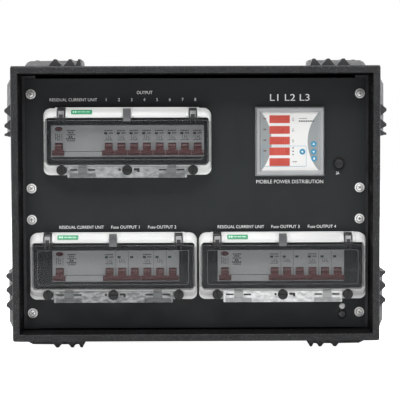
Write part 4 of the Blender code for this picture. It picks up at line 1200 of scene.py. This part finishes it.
def socket_contacts():
    """Earth clips of the single-phase sockets."""
    low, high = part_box("socket_strip")
    centre = (low.z + high.z) / 2
    clips = Shape()
    for i in range(8):
        x = (i - 3.5) * SOCKET_PITCH
        for side in (-1, 1):
            near, far = sorted((centre + side * 18.2 * MM, centre + side * 19.9 * MM))
            clips.block(x - 2.2 * MM, x + 2.2 * MM, high.y - 16 * MM, high.y - 2 * MM, near, far)
    clips.finish("earth_clips", "nickel", slot="rail_steel", bevel=0.4 * MM)


def connector_details():
    """Hinge pins and lid ribs of the rear connectors."""
    for name in CONNECTORS:
        body = name.replace("outlet", "outlet_lid") if name != "inlet" else "inlet_lid"
        low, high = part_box(body)
        px, py, pz = next(joint["pos_m"] for joint in JOINTS.values() if joint["child"] == body)
        pin = Shape().turned("X", py, pz, ((1.1 * MM, px - 15 * MM), (1.1 * MM, px + 15 * MM)), 16)
        pin.finish(f"{name}_hinge_pin", "nickel", slot="rail_steel")
        radius = (high.x - low.x) / 2
        centre = low.z + radius
        ribs = Shape().plate(circle(px, centre, radius - 12.5 * MM), "Y", high.y, high.y + 0.8 * MM,
                             [circle(px, centre, radius - 14.5 * MM)])
        tab = rounded(px - 9 * MM, px + 9 * MM, low.z - 2.2 * MM, low.z + 3 * MM, 2 * MM)
        ribs.plate(tab, "Y", high.y - 6 * MM, high.y - 3 * MM)
        ribs.finish(f"{name}_lid_ribs", "red", body, "outlet_plastic", bevel=0.3 * MM)


# --- stage --------------------------------------------------------------------
CAMERA_BACK = 1.80                 # distance from the case's front edge
CAMERA_SIDE = -8.4 * MM
CAMERA_RISE = 101 * MM             # above the case's middle
CAMERA_YAW = math.radians(0.447)
CAMERA_PITCH = math.radians(3.02)
CAMERA_ROLL = math.radians(-0.178)
CAMERA_LENS = 117                  # millimetres on a 36 mm wide sensor


def camera():
    data = bpy.data.cameras.new("camera")
    data.lens = CAMERA_LENS
    data.sensor_width = 36
    data.clip_start = 0.05
    turn = (Matrix.Rotation(-CAMERA_YAW, 4, "Z") @ Matrix.Rotation(math.pi / 2 - CAMERA_PITCH, 4, "X")
            @ Matrix.Rotation(CAMERA_ROLL, 4, "Z"))
    spot = Matrix.Translation((CAMERA_SIDE, FRONT_Y - CAMERA_BACK, MID_Z + CAMERA_RISE))
    made = added("camera", data)
    made.matrix_world = spot @ turn
    bpy.context.scene.camera = made


def area_light(name, at, target, size, power):
    data = bpy.data.lights.new(name, "AREA")
    data.shape = "RECTANGLE"
    data.size, data.size_y = size
    data.energy = power
    made = added(name, data)
    made.location = at
    made.rotation_euler = (Vector(target) - Vector(at)).to_track_quat("-Z", "Y").to_euler()
    made.visible_camera = False


def camera_only(tree, others, seen):
    """A value that is others for the light in the scene, and seen for what the camera looks at."""
    path = tree.nodes.new("ShaderNodeLightPath")
    value = tree.nodes.new("ShaderNodeMapRange")
    value.inputs["To Min"].default_value = others
    value.inputs["To Max"].default_value = seen
    tree.links.new(path.outputs["Is Camera Ray"], value.inputs["Value"])
    return value.outputs["Result"]


def surroundings():
    """White world that is dimmer as a light than it looks."""
    world = bpy.data.worlds.new("studio")
    world.use_nodes = True
    tree = world.node_tree
    background = tree.nodes["Background"]
    background.inputs["Color"].default_value = (1, 1, 1, 1)
    tree.links.new(camera_only(tree, 0.16, 1.0), background.inputs["Strength"])
    bpy.context.scene.world = world
    bpy.context.scene.view_settings.view_transform = "Standard"


def pale_floor():
    """Floor that looks white to the camera, and glows only a little."""
    bm = bmesh.new()
    bmesh.ops.create_grid(bm, x_segments=2, y_segments=2, size=6)
    floor = added("floor", baked(bm, "floor"))
    pale = bpy.data.materials.new("pale_floor")
    pale.use_nodes = True
    tree = pale.node_tree
    shader = tree.nodes["Principled BSDF"]
    shader.inputs["Base Color"].default_value = (0.9, 0.9, 0.9, 1)
    shader.inputs["Roughness"].default_value = 0.9
    shader.inputs["Emission Color"].default_value = (1, 1, 1, 1)
    tree.links.new(camera_only(tree, 0.1, 1.0), shader.inputs["Emission Strength"])
    floor.data.materials.append(pale)


def lights():
    """Soft studio light, mostly from the front above and from behind."""
    target = (0, 0, 0.2)
    area_light("key", (-0.2, -1.5, 2.3), target, (1.8, 1.2), 62)
    area_light("back", (0, 2.2, 1.0), target, (5.0, 2.4), 90)
    area_light("top", (0, 0.4, 2.4), target, (3.0, 1.6), 40)
    for side in (-1, 1):
        area_light("side", (side * 2.4, 0.5, 0.8), target, (2.4, 1.6), 40)


camera()
surroundings()
pale_floor()
lights()
dress_nodes()
case_shell()
panel_screws()
legends()
small_hardware()
for opening in WINDOW_NAMES:
    for build in (window_frame, window_plateau, window_pads, window_strip, window_knobs, sealing_lugs,
                  window_label, lid_tray, lid_details, window_latches):
        build(opening)
for opening in WINDOW_NAMES:
    breaker_print(opening)
meter_face()
guard_screws()
grip_screws()
rear_hardware()
socket_contacts()
connector_details()
